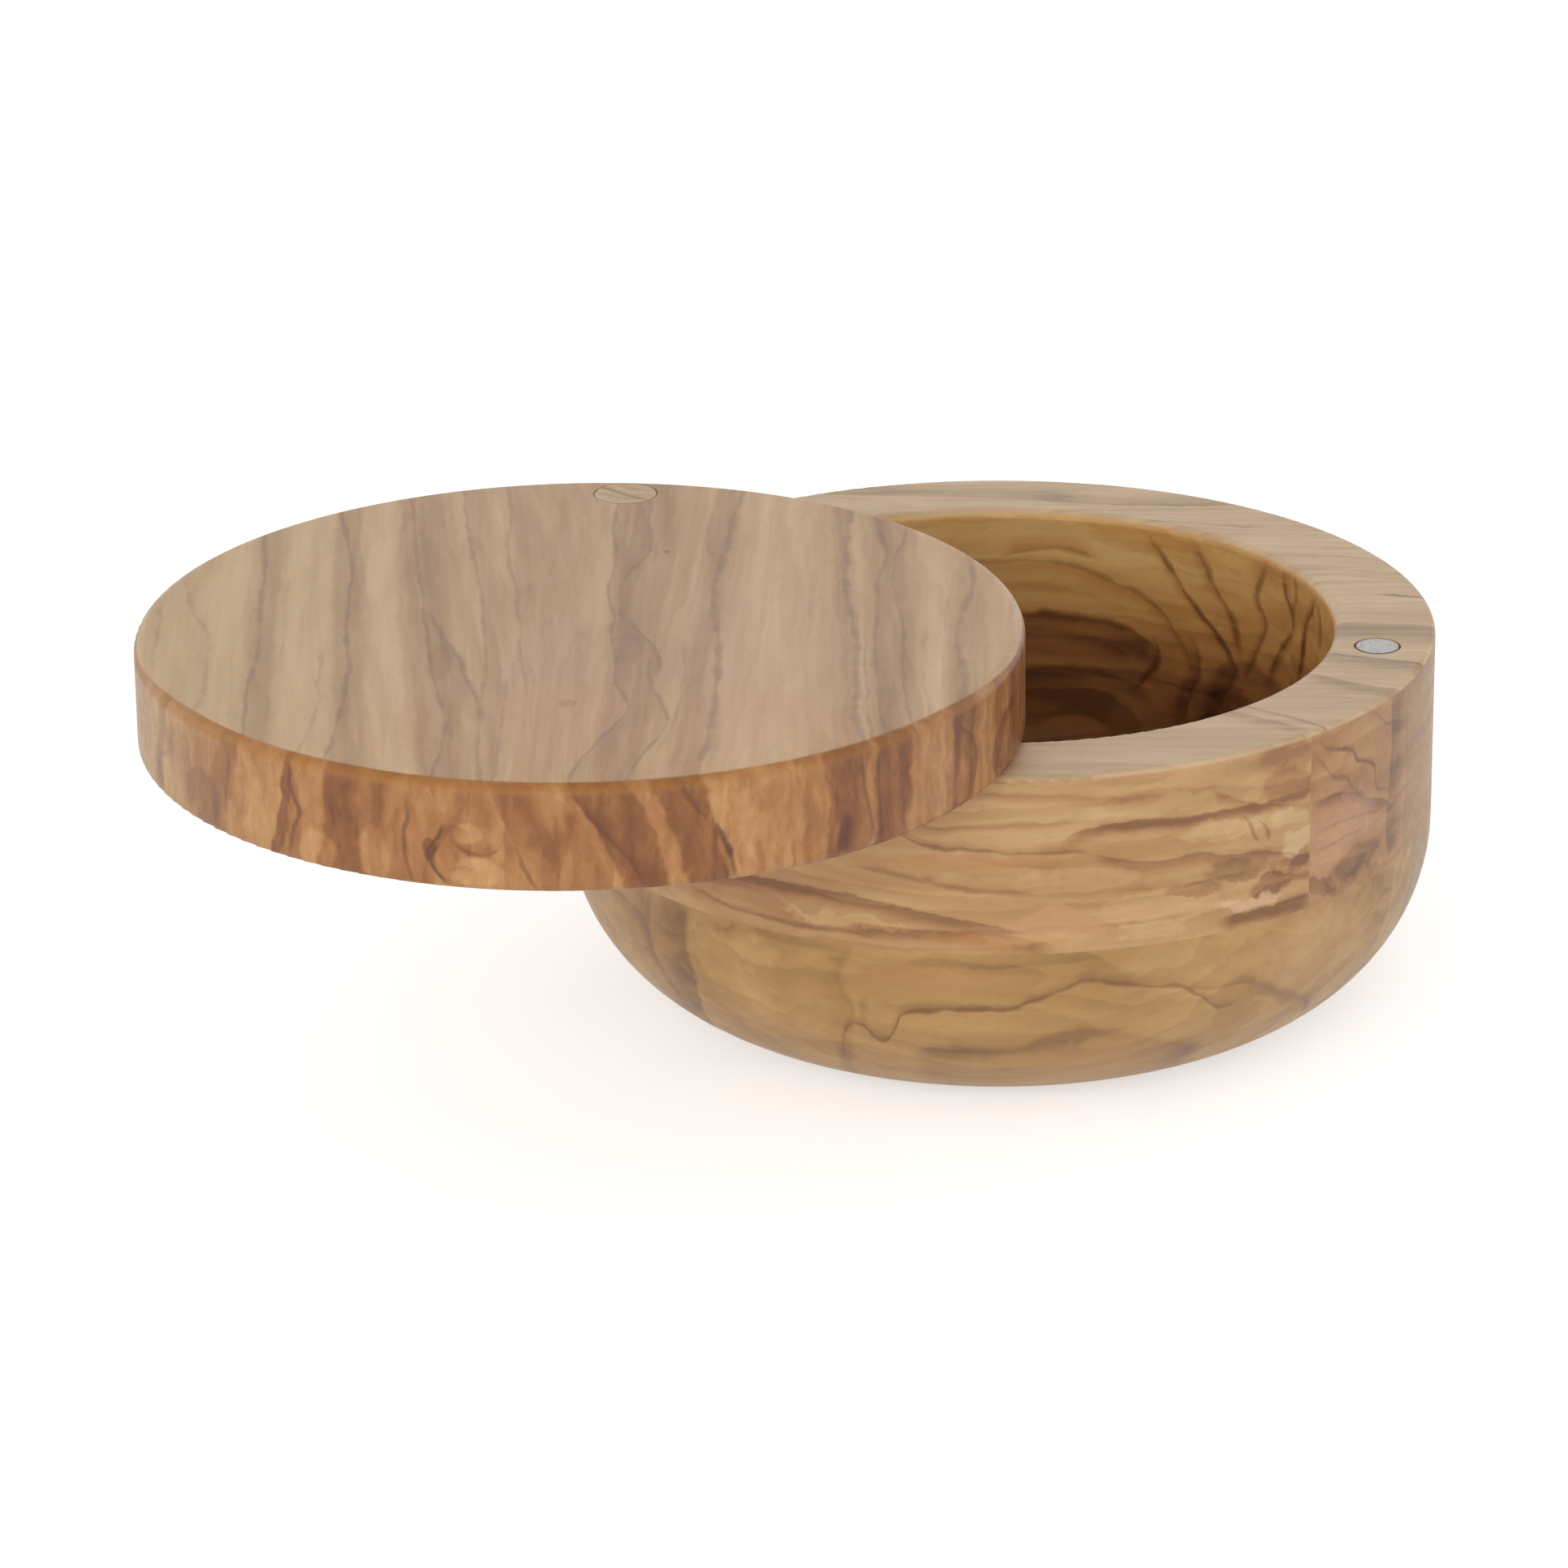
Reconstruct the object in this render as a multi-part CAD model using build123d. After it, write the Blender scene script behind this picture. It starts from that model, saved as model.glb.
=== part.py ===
from build123d import *
import os

# Turned wooden salt box with a swivel lid.
# Millimetres. Origin at the centre of the flat base, +Z up.
# The pivot stands on the rim at -X and the rim magnet opposite it at +X.

# ---------------------------------------------------------------- driving dimensions

# bowl
bowl_radius = 57.0
bowl_height = 50.0
foot_curve_radius = 24.5
wall_thickness = 13.2
floor_thickness = 10.0
well_cove_radius = 10.0
rim_outer_round = 0.8
rim_inner_round = 1.2

# the boards that the bowl is glued up from
floor_block_height = 26.5
end_block_width = 17.8
board_angle = 11.5

# lid
lid_setback = 1.5
lid_thickness = 13.5
lid_top_round = 1.5
lid_bottom_round = 0.8
lid_open_angle = 82.0

# pivot
pivot_inset = 5.5
screw_shank_diameter = 4.0
screw_core_diameter = 3.2
screw_length = 25.0
screw_shank_in_rim = 3.0
screw_point_length = 4.0
screw_point_diameter = 0.8
screw_head_diameter = 7.6
screw_head_height = 2.5
screw_head_edge_height = 1.0
recess_width = 1.0
recess_span = 4.2
recess_depth = 1.5
recess_taper = 8.0
shank_clearance = 0.08
pilot_tip_clearance = 1.0

# washers
spacer_diameter = 9.0
spacer_thickness = 0.4
head_washer_diameter = 8.0
head_washer_thickness = 0.8
washer_hole_clearance = 0.1
running_gap = 0.1

# counterbore and plug over the screw's head
counterbore_diameter = 8.5
plug_thickness = 3.5
plug_edge_break = 0.2
head_to_plug_gap = 0.6

# magnets
magnet_diameter = 6.0
magnet_thickness = 3.0
magnet_edge_break = 0.25
magnet_glue_gap = 0.05

# ---------------------------------------------------------------- worked out from them

well_radius = bowl_radius - wall_thickness
lid_radius = bowl_radius - lid_setback
pivot_radius = lid_radius - pivot_inset

spacer_top = bowl_height + spacer_thickness
lid_bottom = spacer_top + running_gap
lid_top = lid_bottom + lid_thickness
plug_bottom = lid_top - plug_thickness
head_top = plug_bottom - head_to_plug_gap
head_bottom = head_top - screw_head_height
head_washer_bottom = head_bottom - head_washer_thickness
counterbore_floor = head_washer_bottom - running_gap
screw_tip = head_bottom - screw_length
shank_end = bowl_height - screw_shank_in_rim

pivot_axis = Axis((-pivot_radius, 0, 0), (0, 0, 1))
pivot_place = Pos(-pivot_radius, 0, 0)
magnet_place = Pos(pivot_radius, 0, 0)


# ---------------------------------------------------------------- small shared shapes


def turned(*outline):
    """Solid of revolution about Z from the edges of a closed outline in the XZ plane."""
    return revolve(Plane.XZ * make_face(Curve() + list(outline)), Axis.Z)


def upright_cylinder(diameter, bottom, top):
    """Cylinder about Z between two heights."""
    return Pos(0, 0, bottom) * Cylinder(
        diameter / 2, top - bottom, align=(Align.CENTER, Align.CENTER, Align.MIN)
    )


def washer(diameter, bottom, thickness):
    """Flat ring that slips over the screw's shank."""
    hole = screw_shank_diameter + 2 * washer_hole_clearance
    top = bottom + thickness
    return upright_cylinder(diameter, bottom, top) - upright_cylinder(hole, bottom, top)


def disc_magnet(bottom):
    """Plated disc with both rims broken by a small chamfer."""
    disc = upright_cylinder(magnet_diameter, bottom, bottom + magnet_thickness)
    return chamfer(disc.edges(), magnet_edge_break)


# ---------------------------------------------------------------- bowl


def rim_bores():
    """Holes drilled down into the rim: the screw's stepped hole and the magnet's pocket."""
    shank_hole = upright_cylinder(screw_shank_diameter, shank_end, bowl_height)
    pilot = upright_cylinder(screw_core_diameter, screw_tip - pilot_tip_clearance, shank_end)
    pocket_diameter = magnet_diameter + 2 * magnet_glue_gap
    pocket = upright_cylinder(pocket_diameter, bowl_height - magnet_thickness, bowl_height)
    return pivot_place * (shank_hole + pilot) + magnet_place * pocket


def bowl_blank():
    """Whole bowl as it leaves the lathe: round foot, straight wall, flat rim, coved well."""
    foot_radius = bowl_radius - foot_curve_radius
    well_depth = bowl_height - floor_thickness
    outside = turned(
        Line((0, 0), (foot_radius, 0)),
        CenterArc((foot_radius, foot_curve_radius), foot_curve_radius, -90, 90),
        Line((bowl_radius, foot_curve_radius), (bowl_radius, bowl_height)),
        Line((bowl_radius, bowl_height), (0, bowl_height)),
        Line((0, bowl_height), (0, 0)),
    )
    well = upright_cylinder(2 * well_radius, floor_thickness, floor_thickness + well_depth)
    well = fillet(well.edges().sort_by(Axis.Z)[0], well_cove_radius)
    bowl = outside - well
    rim_circles = bowl.edges().group_by(Axis.Z)[-1].sort_by(SortBy.RADIUS)
    bowl = fillet(rim_circles[0], rim_inner_round)
    rim_circles = bowl.edges().group_by(Axis.Z)[-1].sort_by(SortBy.RADIUS)
    return fillet(rim_circles[-1], rim_outer_round)


def bowl_blocks():
    """The bowl divided at its two glue lines: floor block, wall board and end block."""
    bowl = bowl_blank() - rim_bores()
    level_joint = Plane.XY.offset(floor_block_height)
    board_end = Plane.YZ.rotated((0, 0, board_angle))
    end_joint = board_end.offset(bowl_radius - end_block_width)
    floor_block = split(bowl, level_joint, keep=Keep.BOTTOM)
    wall_layer = split(bowl, level_joint, keep=Keep.TOP)
    wall_block = split(wall_layer, end_joint, keep=Keep.BOTTOM)
    end_block = split(wall_layer, end_joint, keep=Keep.TOP)
    return floor_block, wall_block, end_block


# ---------------------------------------------------------------- lid, modelled closed


def lid():
    """Flat disc with a stepped hole over the pivot and a magnet pocket in its underside."""
    disc = upright_cylinder(2 * lid_radius, lid_bottom, lid_top)
    disc = fillet(disc.edges().sort_by(Axis.Z)[-1], lid_top_round)
    disc = fillet(disc.edges().sort_by(Axis.Z)[0], lid_bottom_round)
    shank_hole_diameter = screw_shank_diameter + 2 * shank_clearance
    shank_hole = upright_cylinder(shank_hole_diameter, lid_bottom, counterbore_floor)
    counterbore = upright_cylinder(counterbore_diameter, counterbore_floor, lid_top)
    pocket_diameter = magnet_diameter + 2 * magnet_glue_gap
    pocket = upright_cylinder(pocket_diameter, lid_bottom, lid_bottom + magnet_thickness)
    return disc - pivot_place * (shank_hole + counterbore) - magnet_place * pocket


def lid_plug():
    """Round plug glued flush into the mouth of the counterbore."""
    plug = upright_cylinder(counterbore_diameter, plug_bottom, lid_top)
    return pivot_place * chamfer(plug.edges().sort_by(Axis.Z)[-1], plug_edge_break)


# ---------------------------------------------------------------- pivot screw


def cross_recess():
    """Tapered cross that the driver turns the screw by."""
    slot = Rectangle(recess_span, recess_width) + Rectangle(recess_width, recess_span)
    return Pos(0, 0, head_top) * extrude(slot, -recess_depth, taper=recess_taper)


def pivot_screw():
    """Pan-head wood screw: domed head, plain shank, thinner core and a point."""
    head_radius = screw_head_diameter / 2
    shank_radius = screw_shank_diameter / 2
    core_radius = screw_core_diameter / 2
    point_radius = screw_point_diameter / 2
    head_edge = head_bottom + screw_head_edge_height
    point_start = screw_tip + screw_point_length
    outline = turned(
        Line((0, screw_tip), (point_radius, screw_tip)),
        Line((point_radius, screw_tip), (core_radius, point_start)),
        Line((core_radius, point_start), (core_radius, shank_end)),
        Line((core_radius, shank_end), (shank_radius, shank_end)),
        Line((shank_radius, shank_end), (shank_radius, head_bottom)),
        Line((shank_radius, head_bottom), (head_radius, head_bottom)),
        Line((head_radius, head_bottom), (head_radius, head_edge)),
        TangentArc((0, head_top), (head_radius, head_edge), tangent=(1, 0)),
        Line((0, head_top), (0, screw_tip)),
    )
    return pivot_place * (outline - cross_recess())


# ---------------------------------------------------------------- assembly and export


def swung_open(piece):
    """Turns a piece of the lid about the pivot, from closed to the open rest pose."""
    return piece.rotate(pivot_axis, -lid_open_angle)


floor_block, wall_block, end_block = bowl_blocks()

pieces = {
    "bowl_floor_block": floor_block,
    "bowl_wall_block": wall_block,
    "bowl_end_block": end_block,
    "rim_magnet": magnet_place * disc_magnet(bowl_height - magnet_thickness),
    "pivot_screw": pivot_screw(),
    "spacer_washer": pivot_place * washer(spacer_diameter, bowl_height, spacer_thickness),
    "head_washer": pivot_place
    * washer(head_washer_diameter, head_washer_bottom, head_washer_thickness),
    "lid": swung_open(lid()),
    "lid_plug": swung_open(lid_plug()),
    "lid_magnet": swung_open(magnet_place * disc_magnet(lid_bottom)),
}

os.makedirs("parts", exist_ok=True)
for name, piece in pieces.items():
    export_step(piece, f"parts/{name}.step")
    print(f"{name:18s} volume {piece.volume:10.1f} mm3  solids {len(piece.solids())}")
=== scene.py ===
import math

import bpy
from mathutils import Matrix, Vector


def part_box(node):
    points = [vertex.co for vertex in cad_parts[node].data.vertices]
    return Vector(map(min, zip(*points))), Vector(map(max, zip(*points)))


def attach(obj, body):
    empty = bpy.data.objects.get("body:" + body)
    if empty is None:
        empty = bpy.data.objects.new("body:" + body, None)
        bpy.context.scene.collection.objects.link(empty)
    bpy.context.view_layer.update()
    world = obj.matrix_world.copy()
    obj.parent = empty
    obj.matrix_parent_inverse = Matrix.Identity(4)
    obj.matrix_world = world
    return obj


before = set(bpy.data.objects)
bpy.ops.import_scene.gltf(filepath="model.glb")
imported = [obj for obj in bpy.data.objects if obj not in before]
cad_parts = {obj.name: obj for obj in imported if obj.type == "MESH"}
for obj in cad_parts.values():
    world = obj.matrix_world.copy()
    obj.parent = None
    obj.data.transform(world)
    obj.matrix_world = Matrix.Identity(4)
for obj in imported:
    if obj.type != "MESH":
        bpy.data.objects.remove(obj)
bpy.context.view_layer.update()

# ---------------------------------------------------------------- camera
# The photograph looks a little down on the open box through a long lens. It faces the wood's
# figure square on, so the view is turned by the boards' own turn away from pivot and magnet.

mm = 0.001
board_turn = math.radians(11.5)
rim_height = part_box("bowl_wall_block")[1].z

camera_distance = 869.1 * mm
camera_elevation = math.radians(20.017)
camera_heading = math.radians(1.979)
camera_pitch = math.radians(-21.426)
camera_roll = math.radians(-0.662)

stand = Vector((0, -math.cos(camera_elevation), math.sin(camera_elevation))) * camera_distance
camera = bpy.data.objects.new("camera", bpy.data.cameras.new("camera"))
camera.data.lens = 152.48
camera.data.sensor_width = 36
camera.data.clip_start = 0.01
camera.matrix_world = (
    Matrix.Translation(Matrix.Rotation(board_turn, 3, "Z") @ stand + Vector((0, 0, rim_height)))
    @ Matrix.Rotation(board_turn + camera_heading, 4, "Z")
    @ Matrix.Rotation(math.pi / 2 + camera_pitch, 4, "X")
    @ Matrix.Rotation(camera_roll, 4, "Z")
)
bpy.context.scene.collection.objects.link(camera)
bpy.context.scene.camera = camera
bpy.context.scene.view_settings.view_transform = "Standard"

# ---------------------------------------------------------------- bowl floor block
# The lower of the bowl's two layers: one thick board of oiled olive wood, turned to a round
# foot. A thin dark vein wanders along its front over a darker lens, and its left end is grey.


def paint(red, green, blue):
    """A colour as a paint chart gives it, 0 to 255, as the linear colour that a shader wants."""
    parts = [part / 255 for part in (red, green, blue)]
    return (*[part / 12.92 if part < 0.04 else ((part + 0.055) / 1.055) ** 2.4 for part in parts], 1)


def place(tree, kind, inputs=None, family="ShaderNode", **settings):
    """Adds a node. A socket among the inputs is linked, and any other value is set."""
    node = tree.nodes.new(family + kind)
    for name, value in settings.items():
        setattr(node, name, value)
    for name, value in (inputs or {}).items():
        if isinstance(value, bpy.types.NodeSocket):
            tree.links.new(value, node.inputs[name])
        else:
            node.inputs[name].default_value = value
    return node


def reckon(tree, operation, *values):
    """The result of one Math node."""
    return place(tree, "Math", dict(enumerate(values)), operation=operation).outputs[0]


def ease(tree, value, start, end, low=0.0, high=1.0):
    """A smooth change from low at start to high at end."""
    limits = {"Value": value, "From Min": start, "From Max": end, "To Min": low, "To Max": high}
    return place(tree, "MapRange", limits, interpolation_type="SMOOTHSTEP").outputs[0]


def build_up(tree, start, *shares):
    """A tone built up from a start and from shares of other values."""
    for value, share in shares:
        start = reckon(tree, "MULTIPLY_ADD", value, share, start)
    return start


def go_over(tree, factor, first, second):
    """A number that goes over from one to another, by a factor of 0 to 1."""
    return place(tree, "Mix", {0: factor, 2: first, 3: second}).outputs[0]


def tint(tree, factor, base, colour):
    """A base colour that goes over to another, by a factor of 0 to 1."""
    return place(tree, "Mix", {0: factor, 6: base, 7: colour}, data_type="RGBA").outputs[2]


def follow(tree, value, points, corners=False):
    """A value read off a curve through points, which is smooth unless it has corners."""
    points = sorted(points)
    node = place(tree, "FloatCurve", {"Value": value})
    node.mapping.use_clip = False
    node.mapping.extend = "HORIZONTAL"
    curve = node.mapping.curves[0]
    curve.points[0].location = points[0]
    curve.points[1].location = points[-1]
    for point in points[1:-1]:
        curve.points.new(*point)
    for point in curve.points:
        point.handle_type = "VECTOR" if corners else "AUTO"
    node.mapping.update()
    return node.outputs[0]


def bands(tree, value, starts, softness):
    """The tone of the band that a value is in. Each band has the place where it starts."""
    points = []
    for (_, tone_before), (start, tone) in zip(starts, starts[1:]):
        points += [(start - softness, tone_before), (start + softness, tone)]
    return follow(tree, value, points, corners=True)


def stain(tree, tone, colours):
    """The colour of a tone in one board's wood, from its palest at 0 to its darkest at 1."""
    ramp = place(tree, "ValToRGB", {0: tone})
    stops = ramp.color_ramp.elements
    stops[0].color = colours[0]
    stops[1].color = colours[-1]
    for number, colour in enumerate(colours[1:-1], start=1):
        stops.new(number / (len(colours) - 1)).color = colour
    return ramp.outputs[0]


def parted(tree, vector):
    """The three parts of a vector."""
    return tuple(place(tree, "SeparateXYZ", {0: vector}).outputs)


def start_group(name, inputs, outputs):
    """An empty shader node group, with its tree, its input sockets and its output sockets."""
    tree = bpy.data.node_groups.new(name, "ShaderNodeTree")
    for in_out, sockets in (("INPUT", inputs), ("OUTPUT", outputs)):
        for socket, kind in sockets.items():
            tree.interface.new_socket(name=socket, in_out=in_out, socket_type="NodeSocket" + kind)
    return tree, tree.nodes.new("NodeGroupInput").outputs, tree.nodes.new("NodeGroupOutput").inputs


def make_wander():
    """Pushes a place about by soft noise, because no vein in olive wood runs true."""
    tree, given, out = start_group(
        "wander", {"Place": "Vector", "Size": "Float", "Reach": "Float"}, {"Place": "Vector"}
    )
    fineness = reckon(tree, "DIVIDE", 1.0, given["Size"])
    noise = place(tree, "TexNoise", {"Vector": given["Place"], "Scale": fineness, "Detail": 3.0})
    half = {0: noise.outputs["Color"], 1: (0.5, 0.5, 0.5)}
    push = place(tree, "VectorMath", half, operation="SUBTRACT").outputs[0]
    push = place(tree, "VectorMath", {0: push, "Scale": given["Reach"]}, operation="SCALE").outputs[0]
    moved = place(tree, "VectorMath", {0: given["Place"], 1: push}, operation="ADD")
    tree.links.new(moved.outputs[0], out["Place"])
    return tree


def make_vein():
    """One vein: a dark line along a course, and a soft shade that spreads to one side of it.

    The place along the grain, the dark mask and the shade mask travel as one vector, so each vein
    waits for the one before it, and a long list of veins doesn't fill the renderer's memory.
    """
    numbers = (
        "Across",
        "Course",
        "Middle",
        "Half",
        "Fade",
        "Width",
        "Depth",
        "Reach",
        "Tint",
        "Vigour",
    )
    sockets = {"Carried": "Vector", **{number: "Float" for number in numbers}}
    tree, given, out = start_group("vein", sockets, {"Carried": "Vector"})
    along, dark, shade = parted(tree, given["Carried"])
    off = reckon(tree, "SUBTRACT", given["Across"], given["Course"])
    from_middle = reckon(tree, "SUBTRACT", along, given["Middle"])
    full = reckon(tree, "SUBTRACT", given["Half"], given["Fade"])
    present = ease(tree, reckon(tree, "ABSOLUTE", from_middle), given["Half"], full)
    width = reckon(tree, "MULTIPLY", given["Width"], given["Vigour"])
    depth = reckon(tree, "MULTIPLY", given["Depth"], given["Vigour"])
    outer = reckon(tree, "MULTIPLY", width, 0.8)
    inner = reckon(tree, "MULTIPLY", width, 0.12)
    line = ease(tree, reckon(tree, "ABSOLUTE", off), outer, inner)
    line = reckon(tree, "MULTIPLY", reckon(tree, "MULTIPLY", line, depth), present)
    side = reckon(tree, "DIVIDE", off, given["Reach"])
    veil = reckon(tree, "MULTIPLY", ease(tree, side, 1.0, 0.25), ease(tree, side, -0.1, 0.04))
    veil = reckon(tree, "MULTIPLY", veil, reckon(tree, "MULTIPLY", given["Tint"], present))
    room = reckon(tree, "SUBTRACT", 1.0, shade)
    dark = reckon(tree, "MAXIMUM", dark, line)
    shade = reckon(tree, "MULTIPLY_ADD", veil, room, shade)
    carried = place(tree, "CombineXYZ", {0: along, 1: dark, 2: shade}).outputs[0]
    tree.links.new(carried, out["Carried"])
    return tree


def make_patch():
    """Adds an oval spot to a tone, which travels with its place across and along the grain."""
    sockets = {"Carried": "Vector", "Middle": "Vector", "Fineness": "Vector", "Change": "Float"}
    tree, given, out = start_group("patch", sockets, {"Carried": "Vector"})
    off = place(tree, "VectorMath", {0: given["Carried"], 1: given["Middle"]}, operation="SUBTRACT")
    off = {0: off.outputs[0], 1: given["Fineness"]}
    off = place(tree, "VectorMath", off, operation="MULTIPLY").outputs[0]
    distance = place(tree, "VectorMath", {0: off}, operation="LENGTH").outputs["Value"]
    change = reckon(tree, "MULTIPLY", ease(tree, distance, 1.1, 0.7), given["Change"])
    change = place(tree, "CombineXYZ", {2: change}).outputs[0]
    changed = place(tree, "VectorMath", {0: given["Carried"], 1: change}, operation="ADD")
    tree.links.new(changed.outputs[0], out["Carried"])
    return tree


def make_growth():
    """Growth rings as a board shows them: long uneven layers, each darker towards one side."""
    tree, given, out = start_group(
        "growth",
        {"Place": "Vector", "Stretch": "Vector", "Slope": "Vector", "Rings": "Float"},
        {"Shade": "Float", "Cloud": "Float"},
    )
    drawn = place(tree, "VectorMath", {0: given["Place"], 1: given["Stretch"]}, operation="MULTIPLY")
    field = place(tree, "TexNoise", {"Vector": drawn.outputs[0], "Scale": 1.0, "Detail": 3.0})
    rise = place(tree, "VectorMath", {0: given["Place"], 1: given["Slope"]}, operation="DOT_PRODUCT")
    field = reckon(tree, "ADD", field.outputs[0], rise.outputs["Value"])
    saw = reckon(tree, "FRACT", reckon(tree, "MULTIPLY", field, given["Rings"]))
    shade = reckon(tree, "MULTIPLY", ease(tree, saw, 0.1, 0.9), ease(tree, saw, 1.0, 0.9))
    tree.links.new(shade, out["Shade"])
    cloud = place(tree, "TexNoise", {"Vector": drawn.outputs[0], "Scale": 2.3, "Detail": 5.0})
    tree.links.new(ease(tree, cloud.outputs[0], 0.33, 0.67), out["Cloud"])
    return tree


def make_fibre():
    """The wood's own fine streaks, and the few open pores between them, along the grain."""
    tree, given, out = start_group(
        "fibre",
        {"Place": "Vector", "Streak": "Vector", "Pore": "Vector"},
        {"Tone": "Float", "Pores": "Float", "Height": "Float"},
    )
    drawn = place(tree, "VectorMath", {0: given["Place"], 1: given["Streak"]}, operation="MULTIPLY")
    streak = place(
        tree, "TexNoise", {"Vector": drawn.outputs[0], "Scale": 1.0, "Detail": 3.0, "Roughness": 0.6}
    )
    tone = ease(tree, streak.outputs[0], 0.3, 0.7)
    pricked = place(tree, "VectorMath", {0: given["Place"], 1: given["Pore"]}, operation="MULTIPLY")
    cell = place(tree, "TexVoronoi", {"Vector": pricked.outputs[0], "Scale": 1.0}).outputs
    chosen = ease(tree, place(tree, "SeparateColor", {0: cell["Color"]}).outputs[0], 0.24, 0.2)
    pores = reckon(tree, "MULTIPLY", ease(tree, cell["Distance"], 0.3, 0.12), chosen)
    tree.links.new(tone, out["Tone"])
    tree.links.new(pores, out["Pores"])
    tree.links.new(reckon(tree, "MULTIPLY_ADD", pores, -1.5, tone), out["Height"])
    return tree


wander_group = make_wander()
vein_group = make_vein()
patch_group = make_patch()
growth_group = make_growth()
fibre_group = make_fibre()


def wander(tree, spot, size, reach):
    """A place after the wander group."""
    inputs = {"Place": spot, "Size": size, "Reach": reach}
    return place(tree, "Group", inputs, node_tree=wander_group).outputs[0]


def rings(tree, spot, stretch, slope, count):
    """The growth group's shade and cloud."""
    inputs = {"Place": spot, "Stretch": stretch, "Slope": slope, "Rings": count}
    return place(tree, "Group", inputs, node_tree=growth_group).outputs


def grow(tree, across, along, vigour, veins, masks=(0.0, 0.0)):
    """Adds veins to the dark and shade masks.

    A vein is its course as places along and across the grain, the width and depth of its line,
    and the reach and strength of the shade beside it.
    """
    carried = place(tree, "CombineXYZ", {0: along, 1: masks[0], 2: masks[1]}).outputs[0]
    for course, width, depth, reach, strength in veins:
        first, last = min(course)[0], max(course)[0]
        half = (last - first) / 2
        inputs = {
            "Carried": carried,
            "Across": across,
            "Course": follow(tree, parted(tree, carried)[0], course),
            "Middle": first + half,
            "Half": half,
            "Fade": min(half / 2, 4.0),
            "Width": width,
            "Depth": depth,
            "Reach": reach or 1.0,
            "Tint": strength,
            "Vigour": vigour,
        }
        carried = place(tree, "Group", inputs, node_tree=vein_group).outputs[0]
    return parted(tree, carried)[1:]


def deepen(tree, across, along, tone, patches):
    """Darkens a tone in oval patches, or makes it paler where the change is below 0.

    A patch is its middle and half sizes along and across the grain, and its change.
    """
    carried = place(tree, "CombineXYZ", {0: across, 1: along, 2: tone}).outputs[0]
    for middle, halves, change in patches:
        inputs = {
            "Carried": carried,
            "Middle": (middle[1], middle[0], 0.0),
            "Fineness": (1 / halves[1], 1 / halves[0], 0.0),
            "Change": change,
        }
        carried = place(tree, "Group", inputs, node_tree=patch_group).outputs[0]
    return parted(tree, carried)[2]


def dab(tree, across, along, colour, patches):
    """Goes over to other colours in oval patches."""
    for middle, halves, strength, other in patches:
        mask = deepen(tree, across, along, 0.0, [(middle, halves, strength)])
        colour = tint(tree, mask, colour, other)
    return colour


def board_place(tree, centre=(0, 0, 0)):
    """Millimetres along, across and up the boards, from a centre."""
    seat = {
        "Vector": place(tree, "TexCoord").outputs["Object"],
        "Location": centre,
        "Rotation": (0, 0, board_turn),
        "Scale": (mm, mm, mm),
    }
    return place(tree, "Mapping", seat, vector_type="TEXTURE").outputs[0]


def from_axis(tree, x, y):
    """The distance of a place from the upright axis."""
    squares = [reckon(tree, "MULTIPLY", part, part) for part in (x, y)]
    return reckon(tree, "SQRT", reckon(tree, "ADD", *squares))


def degrees(tree, across, away):
    """The angle of a place round the axis, counted from straight away, in degrees."""
    return reckon(tree, "DEGREES", reckon(tree, "ARCTAN2", across, away))


def vigour_of(tree, spot):
    """How strongly a vein shows from place to place."""
    noise = place(tree, "TexNoise", {"Vector": spot, "Scale": 0.2, "Detail": 3.0})
    return ease(tree, noise.outputs[0], 0.3, 0.7, 0.5, 1.25)


def finish_wood(material, colour, spot, streak, pore):
    """Fibre over the figure, and the low satin gloss of an oiled surface."""
    tree = material.node_tree
    inputs = {"Place": spot, "Streak": streak, "Pore": pore}
    fibre = place(tree, "Group", inputs, node_tree=fibre_group).outputs
    colour = tint(tree, reckon(tree, "MULTIPLY", fibre["Tone"], 0.09), colour, paint(120, 78, 44))
    colour = tint(tree, reckon(tree, "MULTIPLY", fibre["Pores"], 0.2), colour, paint(96, 58, 32))
    relief = {"Strength": 0.15, "Distance": 0.03 * mm, "Height": fibre["Height"]}
    bump = place(tree, "Bump", relief)
    shader = tree.nodes["Principled BSDF"]
    tree.links.new(colour, shader.inputs["Base Color"])
    tree.links.new(ease(tree, fibre["Tone"], 0.0, 1.0, 0.4, 0.46), shader.inputs["Roughness"])
    tree.links.new(bump.outputs[0], shader.inputs["Normal"])


def new_material(name):
    """An empty node material."""
    material = bpy.data.materials.new(name)
    material.use_nodes = True
    return material


def dress(node, material):
    """Gives a CAD node its one material."""
    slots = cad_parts[node].data.materials
    slots.clear()
    slots.append(material)


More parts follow.
